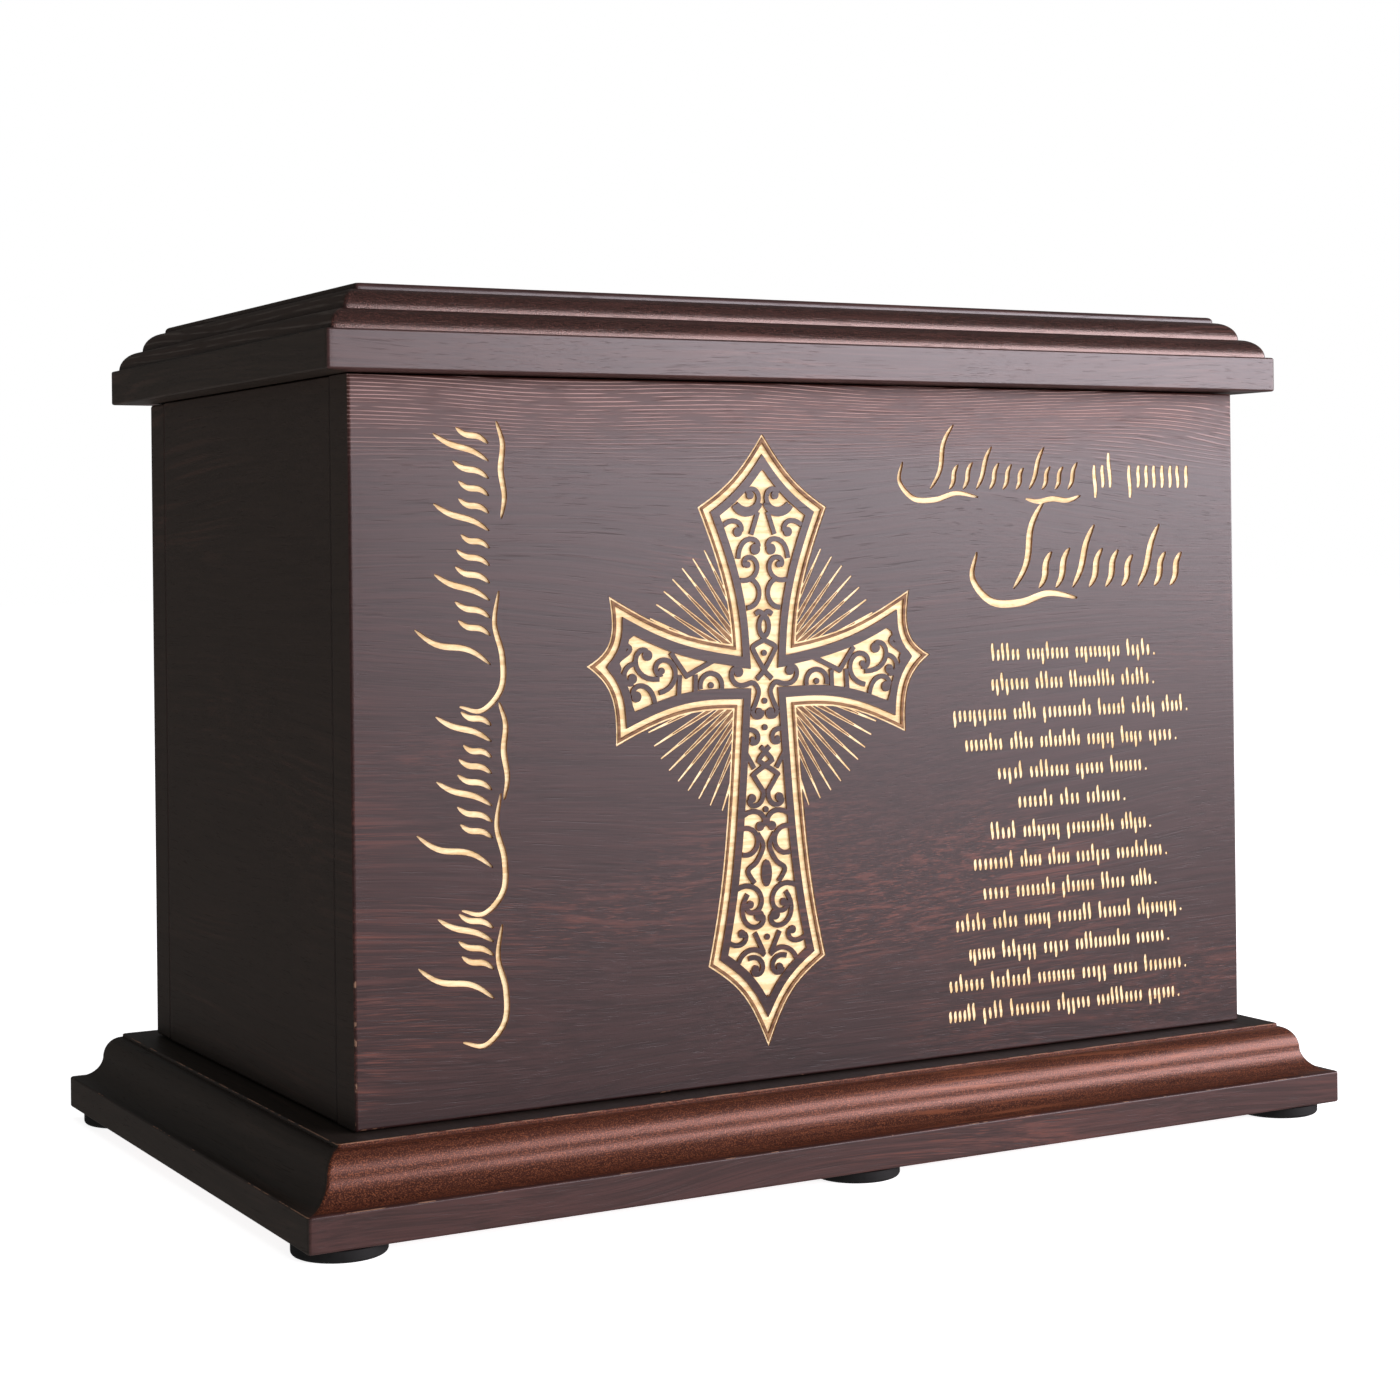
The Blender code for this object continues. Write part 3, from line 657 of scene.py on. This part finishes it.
# %% Corners and edges of the cross
apex, shoulder, armpit = (0.0, 51.8), (16.1, 36.0), (8.05, 6.75)
arm_top, arm_tip, arm_foot = (37.5, 17.6), (42.85, 3.1), (36.2, -13.8)
lower_pit, heel, tip = (7.93, -7.2), (14.65, -61.5), (0.0, -79.9)
FLANK, ARM = (0.54, 1.0, 2.5, 4.3), (0.42, 1.0, 2.25, 4.5)
END = (0.44, 1.05, 2.5, 4.35)
EDGES = [
    (apex, (6.97, 41.4), shoulder, 0.80, END),
    (shoulder, (8.65, 18.66), armpit, 0.75, FLANK),
    (armpit, (22.65, 9.1), arm_top, 0.80, ARM),
    (arm_top, (35.55, 6.8), arm_tip, 0.80, END),
    (arm_tip, (35.65, -1.8), arm_foot, 0.80, END),
    (arm_foot, (21.1, -6.7), lower_pit, 0.80, ARM),
    (lower_pit, (10.25, -42.5), heel, 0.85, FLANK),
    (heel, (5.2, -67.4), tip, 0.85, END),
]
MIRROR = np.array([-1.0, 1.0])
EDGE_STEPS, STRAIGHT, CLEAR = 12, 0.02, 0.96


def hugging_curve(start, bend, end, hug, count=EDGE_STEPS):
    """Cubic (1-t)^3 A + 3(1-t)^2 t F + 3(1-t) t^2 S + t^3 D, with F and S near the bend, t < 1."""
    a, b, d = (np.array(p) for p in (start, bend, end))
    t = np.arange(count)[:, None] / count
    first, second = a + (b - a) * hug, d + (b - d) * hug
    rest = 1 - t
    return a * rest ** 3 + 3 * first * rest ** 2 * t + 3 * second * rest * t ** 2 + d * t ** 3


def cross_outline():
    """Clockwise loop of the whole cross, and the four insets of each of its sides."""
    right = [hugging_curve(*edge[:4]) for edge in EDGES]
    left = [hugging_curve(*(np.array(p) * MIRROR for p in (end, bend, start)), hug)
            for start, bend, end, hug, _ in EDGES[::-1]]
    depths = [np.tile(edge[4], (EDGE_STEPS, 1)) for edge in EDGES + EDGES[::-1]]
    return np.concatenate(right + left), np.concatenate(depths)


def inset_loop(loop, depth):
    """Moves each side inward by its own depth; neighbours meet where their lines cross.

    Points that come nearer to any side than its depth lie past a sharp corner and are left out."""
    side = np.roll(loop, -1, 0) - loop
    length = np.linalg.norm(side, axis=1)
    side /= length[:, None]
    after = np.stack([side[:, 1], -side[:, 0]], 1)
    before, depth_before = np.roll(after, 1, 0), np.roll(depth, 1)
    turn = turning(before, after)
    straight = np.abs(turn) < STRAIGHT
    sharp = np.where(straight, 1.0, turn)
    met = np.stack([depth_before * after[:, 1] - depth * before[:, 1],
                    depth * before[:, 0] - depth_before * after[:, 0]], 1) / sharp[:, None]
    plain = (before * depth_before[:, None] + after * depth[:, None]) / 2
    moved = loop + np.where(straight[:, None], plain, met)
    away = moved[:, None] - loop[None]
    foot = np.clip((away * side[None]).sum(2), 0, length[None])
    gap = np.linalg.norm(away - foot[..., None] * side[None], axis=2)
    return moved[(gap > CLEAR * depth[None]).all(1)]


cross_loop, cross_insets = cross_outline()
print("cross", np.ptp(cross_loop, axis=0).round(1), "mm,", len(cross_loop), "points")

# %% [markdown]
# ## Scrollwork inside the cross
#
# Inside its band the cross is filled with volutes, bows and straps that stay stained, while the
# ground between them is cut to the pale wood. A volute is a spiral that winds in to a round eye:
# its radius falls from its reach to the eye's, quickly at first. Each stroke is a ribbon along
# such a path.

# %% Strokes of the scrollwork
VOLUTES = [
    ((3.1, 38.6), 3.9, -29, -300, 0.90), ((6.25, 30.7), 3.8, 23, 140, 1.05),
    ((1.95, 27.0), 4.7, -25, 170, 1.20), ((3.9, 23.7), 3.8, -60, -320, 0.70),
    ((6.4, 0.8), 3.5, -128, 200, 1.10), ((1.45, -7.9), 1.75, 10, -200, 0.85),
    ((3.1, -13.8), 2.25, 70, 240, 0.65), ((3.4, -26.4), 3.3, 146, 190, 0.95),
    ((1.5, -32.5), 5.5, 18, 150, 1.00), ((4.15, -49.1), 4.8, 46, 320, 0.85),
    ((2.0, -51.6), 5.5, 60, -230, 1.20), ((6.3, -55.2), 3.6, -28, -150, 0.90),
    ((3.0, -63.0), 2.9, 53, 290, 0.85), ((32.1, 0.2), 3.4, 106, -200, 1.05),
    ((28.5, 5.0), 5.8, -119, 200, 1.15), ((25.1, 1.6), 4.6, -82, -370, 0.70),
    ((31.2, -3.6), 4.6, 198, -170, 1.15),
]
BOWS = [((4.25, 17.6), 3.2, 118, 150), ((5.0, -35.6), 2.9, 65, 225), ((13.2, -1.9), 2.65, -15, 210),
        ((4.0, 38.2), 3.7, 200, 130), ((3.6, -62.6), 3.8, 20, 120)]
STRAPS = [
    [(4.6, -2.0), (2.7, -1.7), (1.5, -3.4), (2.1, -5.6), (3.1, -7.6)],
    [(1.1, -15.4), (-1.5, -18.0), (-1.5, -18.5), (2.8, -21.2), (2.8, -21.8), (0.75, -24.8)],
    [(2.1, -34.0), (0.8, -36.7), (2.4, -40.0), (4.6, -41.9), (3.0, -44.6)],
    [(1.2, 35.0), (2.9, 30.2)], [(3.1, -55.2), (0.9, -59.6)],
    [(22.9, 5.4), (19.3, 0.6), (19.1, 0.4), (18.8, 0.5), (11.0, 4.1)],
    [(2.1, 13.0), (1.1, 13.6), (0.0, 12.8)],
    [(20.8, 0.6), (21.1, -4.4)], [(17.0, 0.6), (17.1, -4.4)],
    [(35.3, 4.2), (32.6, 6.4), (35.0, 8.2)], [(5.4, -15.8), (4.0, -18.0), (2.8, -20.0)],
    [(0.0, 7.5), (2.6, 6.2), (2.5, 5.0), (0.0, 1.0), (-1.9, -0.9)],
]
DOTS = [(0.0, -5.6), (0.0, -11.3), (0.0, -28.9), (0.0, -56.3), (0.0, 4.7), (13.2, -1.8),
        (-13.2, -1.8)]
LENSES = [((0.0, 10.4), (1.75, 2.7)), ((0.0, -42.6), (1.3, 2.9))]
LENS_EYE = ((0.0, 10.4), (0.65, 1.5))
STROKE, DOT, EYE_SHARE = 1.05, 0.65, 0.8


def ribbon(path, width):
    """Closed band round a path: each point moved half the width to both sides of the direction."""
    ahead = np.gradient(path, axis=0)
    ahead /= np.linalg.norm(ahead, axis=1, keepdims=True) + 1e-9
    half_width = np.broadcast_to(width, len(path))[:, None] / 2
    side = np.stack([-ahead[:, 1], ahead[:, 0]], 1) * half_width
    return np.concatenate([path + side, (path - side)[::-1]])


def oval(centre, radii, count=18):
    """Ellipse centre + radii * (cos u, sin u); one radius makes a circle."""
    u = np.linspace(0, 2 * np.pi, count, endpoint=False) + 0.1
    return np.array(centre) + np.array(radii) * np.stack([np.cos(u), np.sin(u)], 1)


def winding(eye, reach, start, sweep, last):
    """Spiral eye + r(t) * (cos a, sin a) with r = reach + (last - reach) * t^0.8."""
    t = np.linspace(0, 1, max(4, round(abs(sweep) / 13)))[:, None]
    a = np.radians(start + sweep * t)
    radius = reach + (last - reach) * t ** 0.8
    return np.array(eye) + radius * np.concatenate([np.cos(a), np.sin(a)], 1)


def flowing(corners, steps=7):
    """Catmull-Rom curve through the corners, as one array of samples: between B and C it is
    (2B + (C-A)t + (2A-5B+4C-D)t^2 + (3B-A-3C+D)t^3) / 2."""
    p = np.array(corners, float)
    if len(p) == 2:
        return p[0] + (p[1] - p[0]) * np.linspace(0, 1, steps)[:, None]
    p = np.concatenate([[2 * p[0] - p[1]], p, [2 * p[-1] - p[-2]]])
    t = (np.arange(steps) / steps)[None, :, None]
    a, b, c, d = (p[k:len(p) - 3 + k, None] for k in range(4))
    square, cube = a * 2 - b * 5 + c * 4 - d, b * 3 - a - c * 3 + d
    spans = (b * 2 + (c - a) * t + square * t ** 2 + cube * t ** 3) / 2
    return np.concatenate([spans.reshape(-1, 2), p[-2:-1]])


def scrollwork():
    """All raised strokes of both halves of the cross."""
    half = []
    for eye, reach, start, sweep, eye_radius in VOLUTES:
        path = winding(eye, reach, start, sweep, eye_radius * EYE_SHARE)
        half += [ribbon(path, STROKE), oval(eye, eye_radius)]
    half += [ribbon(winding(c, r, start, sweep, r), STROKE) for c, r, start, sweep in BOWS]
    half += [ribbon(flowing(corners), STROKE) for corners in STRAPS]
    middle = [oval(dot, DOT) for dot in DOTS] + [oval(*leaf) for leaf in LENSES]
    return half + [face * MIRROR for face in half] + middle


print("scrollwork strokes:", len(scrollwork()))

# %% [markdown]
# ## Rays
#
# Fans of rays stand between the arms. Each ray is a very slim V: one line at its outer tip that
# parts into two legs near the cross. So a ray is a long wedge, and a shorter wedge inside it that
# stays uncut and only turns brown from the heat.

# %% Rays and their slits
FANS = ((24.6, 61.6, 7), (-21.4, -69.2, 9))
RAY_ROOT = 7.0
RAY, SLIT = (1.60, 0.36, 30.6), (1.08, 0.10, 25.5)


def wedge(angle, root_width, tip_width, tip_radius):
    """Four corners of a slim band that points away from the crossing, r * (cos a, sin a)."""
    ahead = np.array([math.cos(angle), math.sin(angle)])
    across = np.array([-ahead[1], ahead[0]]) / 2
    root, end = ahead * RAY_ROOT, ahead * tip_radius
    return np.array([root - across * root_width, end - across * tip_width,
                     end + across * tip_width, root + across * root_width])


ray_angles = np.radians(np.concatenate([np.linspace(a, b, n) for a, b, n in FANS]))
rays = [wedge(a, *RAY) for a in ray_angles]
slits = [wedge(a, *SLIT) for a in ray_angles]
rays += [face * MIRROR for face in rays]
slits += [face * MIRROR for face in slits]
print("rays:", len(rays))

# %% [markdown]
# ## Strokes in place of the inscription
#
# The engraved words are somebody's own text, so no letters are drawn. Their places keep rows of
# pen strokes of the same size and weight. A stroke is a short path that swells in its middle, as
# a pen leaves it. Small words are upright strokes of changing height; the large script becomes
# tall leaning strokes with a long sweep under the first.

# %% Pen strokes
pen_luck = np.random.default_rng(11)
MEAN_WORD, WORD_GAP, FULL_STOP = 11, 1.6, 0.36
ROW_PEN = (1.38, 0.40, 0.86)


def swelling(path, thin, thick):
    """Ribbon whose width is thin at both ends and thin + thick * sqrt(sin) along the way."""
    t = np.linspace(0, np.pi, len(path))
    return ribbon(path, thin + (thick - thin) * np.sqrt(np.clip(np.sin(t), 0, 1)))


def bent_stroke(foot, rise, lean, bend, steps=9):
    """Path from a foot upward: x = foot + lean * y + bend * sin(2 pi t), y = rise * t."""
    t = np.linspace(0, 1, steps)
    x = foot[0] + lean * rise * t + bend * np.sin(2 * np.pi * t)
    return np.stack([x, foot[1] + rise * t], 1)


def small_word(left, foot, length, height, pitch, thin, thick):
    """Upright strokes along a word; a fifth of them stand taller and some hang lower."""
    count = max(2, round(length / pitch))
    strokes = []
    for k, luck in enumerate(pen_luck.random(count)):
        x = left + length * (k + 0.5) / count
        top = height * (1.55 if luck < 0.2 else 1.0)
        drop = height * (0.45 if 0.2 <= luck < 0.3 else 0.0)
        path = bent_stroke((x, foot - drop), top + drop, 0.12 * (luck - 0.45), 0.06 * pitch)
        strokes.append(swelling(path, thin, thick))
    return strokes


def word_row(left, right, foot, height=2.6):
    """Small words of changing length that fill one centred row, and a dot at its end."""
    words = max(3, round((right - left) / MEAN_WORD))
    shares = pen_luck.uniform(0.6, 1.5, words)
    lengths = shares / shares.sum() * (right - left - WORD_GAP * words)
    starts = left + np.concatenate([[0], np.cumsum(lengths + WORD_GAP)[:-1]])
    strokes = [oval((right - 0.5, foot + FULL_STOP), FULL_STOP, 8)]
    for start, length in zip(starts, lengths):
        strokes += small_word(start, foot, length, height, *ROW_PEN)
    return strokes


ROW_ENDS = [(41.5, 88.8), (41.3, 88.5), (30.9, 98.4), (34.0, 95.0), (42.8, 86.0), (48.4, 79.6),
            (40.8, 87.1), (35.9, 91.8), (38.5, 88.5), (30.9, 95.9), (34.4, 92.1), (29.0, 97.1),
            (28.8, 95.0)]
ROW_PITCH, LOWEST_ROW = 6.7, 7.4
row_strokes = [stroke for k, (a, b) in enumerate(ROW_ENDS)
               for stroke in word_row(a, b, LOWEST_ROW + ROW_PITCH * (len(ROW_ENDS) - 1 - k))]
print("strokes in the rows:", len(row_strokes))

# %% [markdown]
# ## Large script lines
#
# The two lines above the rows and the one up the left side are worked out lying level, in
# millimetres from their own start, and then laid along their own direction.

# %% Large leaning strokes
LEAN = 0.45


def script_word(length, tall, low, count, tail=False):
    """A tall stroke over a long sweep, then low ones; one in four of those stands taller."""
    sweep = np.array([(-0.50, 0.42), (-0.56, 0.12), (-0.30, -0.14), (0.10, -0.16), (0.50, -0.06),
                      (0.9, -0.12)]) * tall
    paths = [flowing(sweep, 8), bent_stroke((0.0, 0.0), tall, LEAN, 0.06 * tall, 16)]
    start = 0.36 * tall
    step = (length - start - 0.3 * low) / count
    for k in range(count + 1):
        rise = low * (1.6 if k % 4 == 2 else 0.92 + 0.12 * math.sin(2.3 * k))
        paths.append(bent_stroke((start + step * k, 0.0), rise, LEAN, 0.06 * low, 12))
    if tail:
        hang = np.array([(0.3, -0.24), (-0.3, -0.42), (-1.0, -0.36), (-1.7, -0.46), (-2.3, -0.36)])
        paths.append(flowing(hang * low + (length, 0.0), 8))
    return paths


def lay_script(paths, origin, along, up, thin, thick):
    """Swells the paths and turns them so that level becomes `along` and height becomes `up`."""
    basis = np.array([along, up], float)
    return [swelling(path, thin, thick) @ basis + np.array(origin) for path in paths]


RIGHTWARD, UPWARD, LEFTWARD = (1, 0), (0, 1), (-1, 0)
SIDE_WORDS = ((23.5, 16.5, 3, False), (50.0, 31.0, 7, True), (91.0, 47.0, 11, True))
script = lay_script(script_word(40.0, 14.5, 6.0, 9, tail=True), (25.5, 126.5), RIGHTWARD, UPWARD,
                    0.30, 1.25)
script += lay_script(script_word(48.0, 20.0, 9.0, 8), (48.0, 104.0), RIGHTWARD, UPWARD, 0.40, 1.75)
for foot, length, count, last in SIDE_WORDS:
    word = script_word(length, 16.5, 7.6, count, last)
    script += lay_script(word, (-82.3, foot), UPWARD, LEFTWARD, 0.32, 1.3)
for left, length in ((70.5, 6.5), (80.5, 19.0)):
    row_strokes += small_word(left, 126.9, length, 5.2, 2.3, 0.6, 1.05)
print("script strokes:", len(script))

# %% [markdown]
# ## Dividing the front into cut and uncut
#
# The board's face is flat, and the laser cuts flat pockets half a millimetre deep. All the curves
# above are laid on the face, and a constrained triangulation divides it along them, so the edges
# of the pockets stay crisp. A triangle is inside a curve if the curve winds round its middle.

# %% Layers on the face
CROSS_AXIS = -17.8
CROSS_BELOW, CROSS_ABOVE = 7.1, 10.9
WALL_HEIGHT = WALL_TOP - WALL_FOOT
cross_scale = (WALL_HEIGHT - CROSS_BELOW - CROSS_ABOVE) / (apex[1] - tip[1])
cross_centre = np.array([CROSS_AXIS, CROSS_BELOW - tip[1] * cross_scale])
layers = {"line": [cross_loop], "scroll": scrollwork(), "eye": [oval(*LENS_EYE, 12)],
          "ray": rays, "slit": slits}
for k, layer in enumerate(("line_inside", "band", "band_inside", "field")):
    layers[layer] = [inset_loop(cross_loop, cross_insets[:, k])]
layers = {layer: [cross_centre + face * cross_scale for face in faces]
          for layer, faces in layers.items()}
layers |= {"rows": row_strokes, "script": script}
RIM, MERGE = 0.6, 0.012
SIGNS = np.array([(-1, -1), (1, -1), (1, 1), (-1, 1)])
face_half, face_middle = np.array([BODY_HALF_X, WALL_HEIGHT / 2]), np.array([0, WALL_HEIGHT / 2])
face_rim = face_middle + SIGNS * (face_half - RIM)


def winds_round(face, spots):
    """Marks spots inside a closed face: its crossings of the level line to their right, upward
    minus downward, don't add up to 0."""
    near = np.flatnonzero(((spots > face.min(0)) & (spots < face.max(0))).all(1))
    x, y = spots[near, 0, None], spots[near, 1, None]
    before = np.roll(face, 1, 0)
    rise = face[:, 1] - before[:, 1]
    level = np.where(rise == 0, 1.0, rise)
    crosses = (face[:, 1] > y) != (before[:, 1] > y)
    meets = before[:, 0] + (y - before[:, 1]) * (face[:, 0] - before[:, 0]) / level
    inside = np.zeros(len(spots), bool)
    inside[near] = np.where(crosses & (x < meets), np.sign(rise), 0).sum(1) != 0
    return inside


def divide_face():
    """Triangles of the whole face, and for each layer the ones it covers."""
    loops = [face_rim] + [face for faces in layers.values() for face in faces]
    sides, first = [], 0
    for loop in loops:
        spot = np.arange(len(loop)) + first
        sides.append(np.stack([spot, np.roll(spot, -1)], 1))
        first += len(loop)
    spots = [Vector(p) for p in np.concatenate(loops).tolist()]
    found = delaunay_2d_cdt(spots, np.concatenate(sides).tolist(), [], 0, MERGE)
    points, triangles = np.array([tuple(p) for p in found[0]]), np.array(found[2])
    middles = points[triangles].mean(1)
    covers = {layer: np.zeros(len(triangles), bool) for layer in layers}
    for layer, faces in layers.items():
        for face in faces:
            covers[layer] |= winds_round(face, middles)
    return points, triangles, covers


face_points, face_triangles, covers = divide_face()
turned_over = doubled_area(face_points, face_triangles) < 0
face_triangles = np.where(turned_over[:, None], face_triangles[:, ::-1], face_triangles)
outline_cut = covers["line"] & ~covers["line_inside"] | covers["band"] & ~covers["band_inside"]
field_cut = covers["field"] & ~covers["scroll"] | covers["eye"]
ray_cut = covers["ray"] & ~covers["line"] & ~covers["slit"]
is_cut = outline_cut | field_cut | ray_cut | covers["rows"] | covers["script"]
is_browned = ~is_cut & (covers["line_inside"] & ~covers["band"] | covers["slit"] & ~covers["line"])
print("face triangles", len(face_triangles), "cut", int(is_cut.sum()))

# %% [markdown]
# ## Sinking the pockets
#
# Where a cut triangle meets an uncut one, a steep wall joins face and floor. The floor's edge is
# drawn inward a little, so the wall leans and its burnt brown shows as a fine line round every
# shape. Where that would fold a very narrow pocket, its edge stays where it was.

# %% Pockets, rim and back of the front board
DEEP, THIN_LINE, SHALLOW, LEAN_IN = 0.45, 0.22, 0.12, 0.05
BACK_EASE = 0.3


def sides_of(triangles):
    """The three directed sides of every triangle."""
    return np.concatenate([triangles[:, [0, 1]], triangles[:, [1, 2]], triangles[:, [2, 0]]])


def part_touching(triangles, cut, rounds=12):
    """Fills cut triangles round a spot where two pockets would meet in a point."""
    pairs, owner = np.unique(np.sort(sides_of(triangles), 1), axis=0, return_inverse=True)
    for _ in range(rounds):
        edge = pairs[np.bincount(owner.ravel(), np.tile(cut, 3), len(pairs)) == 1]
        meeting = np.bincount(edge.ravel(), minlength=triangles.max() + 1) > 2
        cut = cut & ~meeting[triangles].any(1)
    return cut


def pocket_edges(triangles, cut):
    """Directed sides of cut triangles whose other side is uncut; the pocket lies to their left."""
    sides = sides_of(triangles[cut])
    _, owner, shared = np.unique(np.sort(sides, 1), axis=0, return_inverse=True,
                                 return_counts=True)
    return sides[shared[owner.ravel()] == 1]


def floor_points(points, triangles, edges, rounds=8):
    """Points of the floor: those on an edge move inward by LEAN_IN from both of its sides.

    A move that would fold or nearly flatten a triangle is shortened, or in the end left out."""
    ahead = points[edges[:, 1]] - points[edges[:, 0]]
    inward = np.stack([-ahead[:, 1], ahead[:, 0]], 1) / np.linalg.norm(ahead, axis=1, keepdims=True)
    both = np.zeros_like(points)
    np.add.at(both, edges[:, 0], inward)
    np.add.at(both, edges[:, 1], inward)
    move = 2 * LEAN_IN * both / np.maximum((both ** 2).sum(1, keepdims=True), 1.6)
    was = doubled_area(points, triangles)
    for _ in range(rounds):
        move[triangles[doubled_area(points + move, triangles) < 0.12 * was]] *= 0.4
    move[triangles[doubled_area(points + move, triangles) <= 0]] = 0.0
    return points + move


def on_board(spots, depth):
    """Puts spots of the face into space at a depth behind the board's front."""
    behind = np.broadcast_to(-BODY_HALF_Y + depth, len(spots))
    return np.stack([spots[:, 0], behind, WALL_FOOT + spots[:, 1]], 1)


is_cut = part_touching(face_triangles, is_cut)
edges = pocket_edges(face_triangles, is_cut)
top = on_board(face_points, 0.0)
pocket_depth = np.full(len(face_points), DEEP)
pocket_depth[face_triangles[is_cut & covers["line"] & ~covers["line_inside"]]] = THIN_LINE
pocket_depth[face_triangles[is_cut & (covers["rows"] | ray_cut)]] = SHALLOW
floor = on_board(floor_points(face_points, face_triangles[is_cut], edges), pocket_depth)
shift = len(top)
walls = np.concatenate([edges, edges[:, ::-1] + shift], 1)
rim_turn = np.linspace(0, np.pi / 2, 5)[1:]
rim_rings = [(RIM * (1 - math.sin(a)), RIM * (1 - math.cos(a))) for a in rim_turn]
rim_rings += [(0.0, WALL - BACK_EASE), (0.3 * BACK_EASE, WALL - 0.3 * BACK_EASE), (BACK_EASE, WALL)]
rings = np.concatenate([on_board(face_middle + SIGNS * (face_half - inset), depth)
                        for inset, depth in rim_rings])
first_ring = [int(np.argmin(np.abs(face_points - corner).sum(1))) for corner in face_rim]
ring_ids = np.concatenate([[first_ring], np.arange(len(rings)).reshape(-1, 4) + 2 * shift])
beside = np.roll(ring_ids, -1, 1)
rim_quads = np.stack([ring_ids[:-1], ring_ids[1:], beside[1:], beside[:-1]], -1).reshape(-1, 4)
print("pocket edges", len(edges), "rim faces", len(rim_quads))

# %% [markdown]
# ## The front board
#
# All parts of the board meet in one closed mesh: the uncut face, the floors, the walls, the
# rounded rim with its sides, and the back. The first three rings of the rim are worn, and their
# lower left corner most. Points that no face uses are left out before the mesh is written.

# %% Write the front board
STAINED, BARE, BURNT, BROWNED, SIDE = range(5)
uncut, cut = face_triangles[~is_cut], face_triangles[is_cut] + shift
face_sets = [uncut, cut, walls, rim_quads, ring_ids[-1:]]
round_quads = 4 * len(rim_turn)
finish_ids = np.concatenate([
    np.where(is_browned[~is_cut], BROWNED, STAINED), np.full(len(cut), BARE),
    np.full(len(walls), BURNT), np.full(round_quads, STAINED),
    np.full(len(rim_quads) - round_quads + 1, SIDE)])
all_points = np.concatenate([top, floor, rings])
used = np.unique(np.concatenate([np.asarray(group).ravel() for group in face_sets]))
renumber = np.zeros(len(all_points), int)
renumber[used] = np.arange(len(used))
on_rim = np.zeros(len(all_points))
first_rings = slice(2 * shift, 2 * shift + 12)
on_rim[first_rings] = np.tile([0.9, 0.62, 0.62, 0.62], 3)
write_piece("front_board_surface", all_points[used], [renumber[g] for g in face_sets],
            [front_wood, bare_wood, burnt_wood, browned_wood, side_wood], "engraved_wood",
            finish_of=finish_ids, arris=on_rim[used])

# %% [markdown]
# ## Light and floor
#
# The photograph was taken in soft light from the front right, with the left side in shade, on
# pure white. A large soft box gives the light, and its mirror image lies in the upper part of the
# front. The sky round the scene is a gradient that is brightest where the soft box hangs. The
# floor is a plain pale sheet that gives a faint contact shadow and no mirror image.

# %% Lights, sky and floor


def soft_box(name, place, aim, size, radiance):
    """A rectangular light; its power is pi * area * radiance."""
    light = bpy.data.lights.new(name, "AREA")
    light.shape = "RECTANGLE"
    light.size, light.size_y = size
    light.energy = math.pi * size[0] * size[1] * radiance
    lamp = into_scene(name, light)
    lamp.location = place
    lamp.rotation_mode = "QUATERNION"
    lamp.rotation_quaternion = (Vector(aim) - Vector(place)).to_track_quat("-Z", "Y")
    return lamp


key_light = soft_box("key soft box", (1.22, -1.17, 0.47), (0, 0, 0.47), (1.7, 0.68), 11.5)
key_light.data.color = (1.0, 0.92, 1.0)
top_light = soft_box("overhead soft box", (0.1, -0.1, 1.8), (0, 0, 0), (1.2, 1.2), 1.3)
top_light.visible_glossy = False


def studio_sky():
    """A gradient sky: brightest towards the soft box, darkest behind on the left. The camera's
    own rays see plain white."""
    world = bpy.data.worlds.new("studio sky")
    world.use_nodes = True
    tree = world.node_tree
    ahead = add(tree, "TexCoord").outputs["Generated"]
    towards = add(tree, "VectorMath", {0: ahead, 1: (0.60, -0.60, -0.53)}, operation="DOT_PRODUCT")
    glow = step_between(tree, towards.outputs["Value"], -0.9, 0.9)
    dome = blend_colours(tree, glow, (0.085, 0.085, 0.082), (0.28, 0.27, 0.28))
    seen = add(tree, "LightPath").outputs["Is Camera Ray"]
    wire(tree, tree.nodes["Background"], {"Color": blend_colours(tree, seen, dome, (1, 1, 1))})
    return world


bpy.context.scene.world = studio_sky()
floor_mesh = bpy.data.meshes.new("floor")
FLOOR_REACH = 6.0
floor_corners = np.column_stack([SIGNS * FLOOR_REACH, np.zeros(4)])
floor_mesh.from_pydata(floor_corners.tolist(), [], [(0, 1, 2, 3)])
pale, pale_tree, pale_shader, _ = new_finish("pale floor")
wire(pale_tree, pale_shader, {
    "Base Color": (0.94, 0.94, 0.94), "Roughness": 0.9, "Specular IOR Level": 0.1,
    "Emission Color": (1, 1, 1), "Emission Strength": 0.88})
floor_mesh.materials.append(pale)
studio_floor = into_scene("studio_floor", floor_mesh)
studio_floor.visible_glossy = False
studio_floor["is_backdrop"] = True

# %% [markdown]
# ## Sizes and the end
#
# The dressed urn has to keep the size of the solids. The box of the dressed pieces is measured
# again, and its largest difference from the solids' box is printed.

# %% Sizes
visual_box = [list(corner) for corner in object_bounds()]
growth = np.abs(np.array(visual_box) - np.array(cad_box)).max() / MM
print("largest difference from the solids' box:", round(float(growth), 3), "mm")
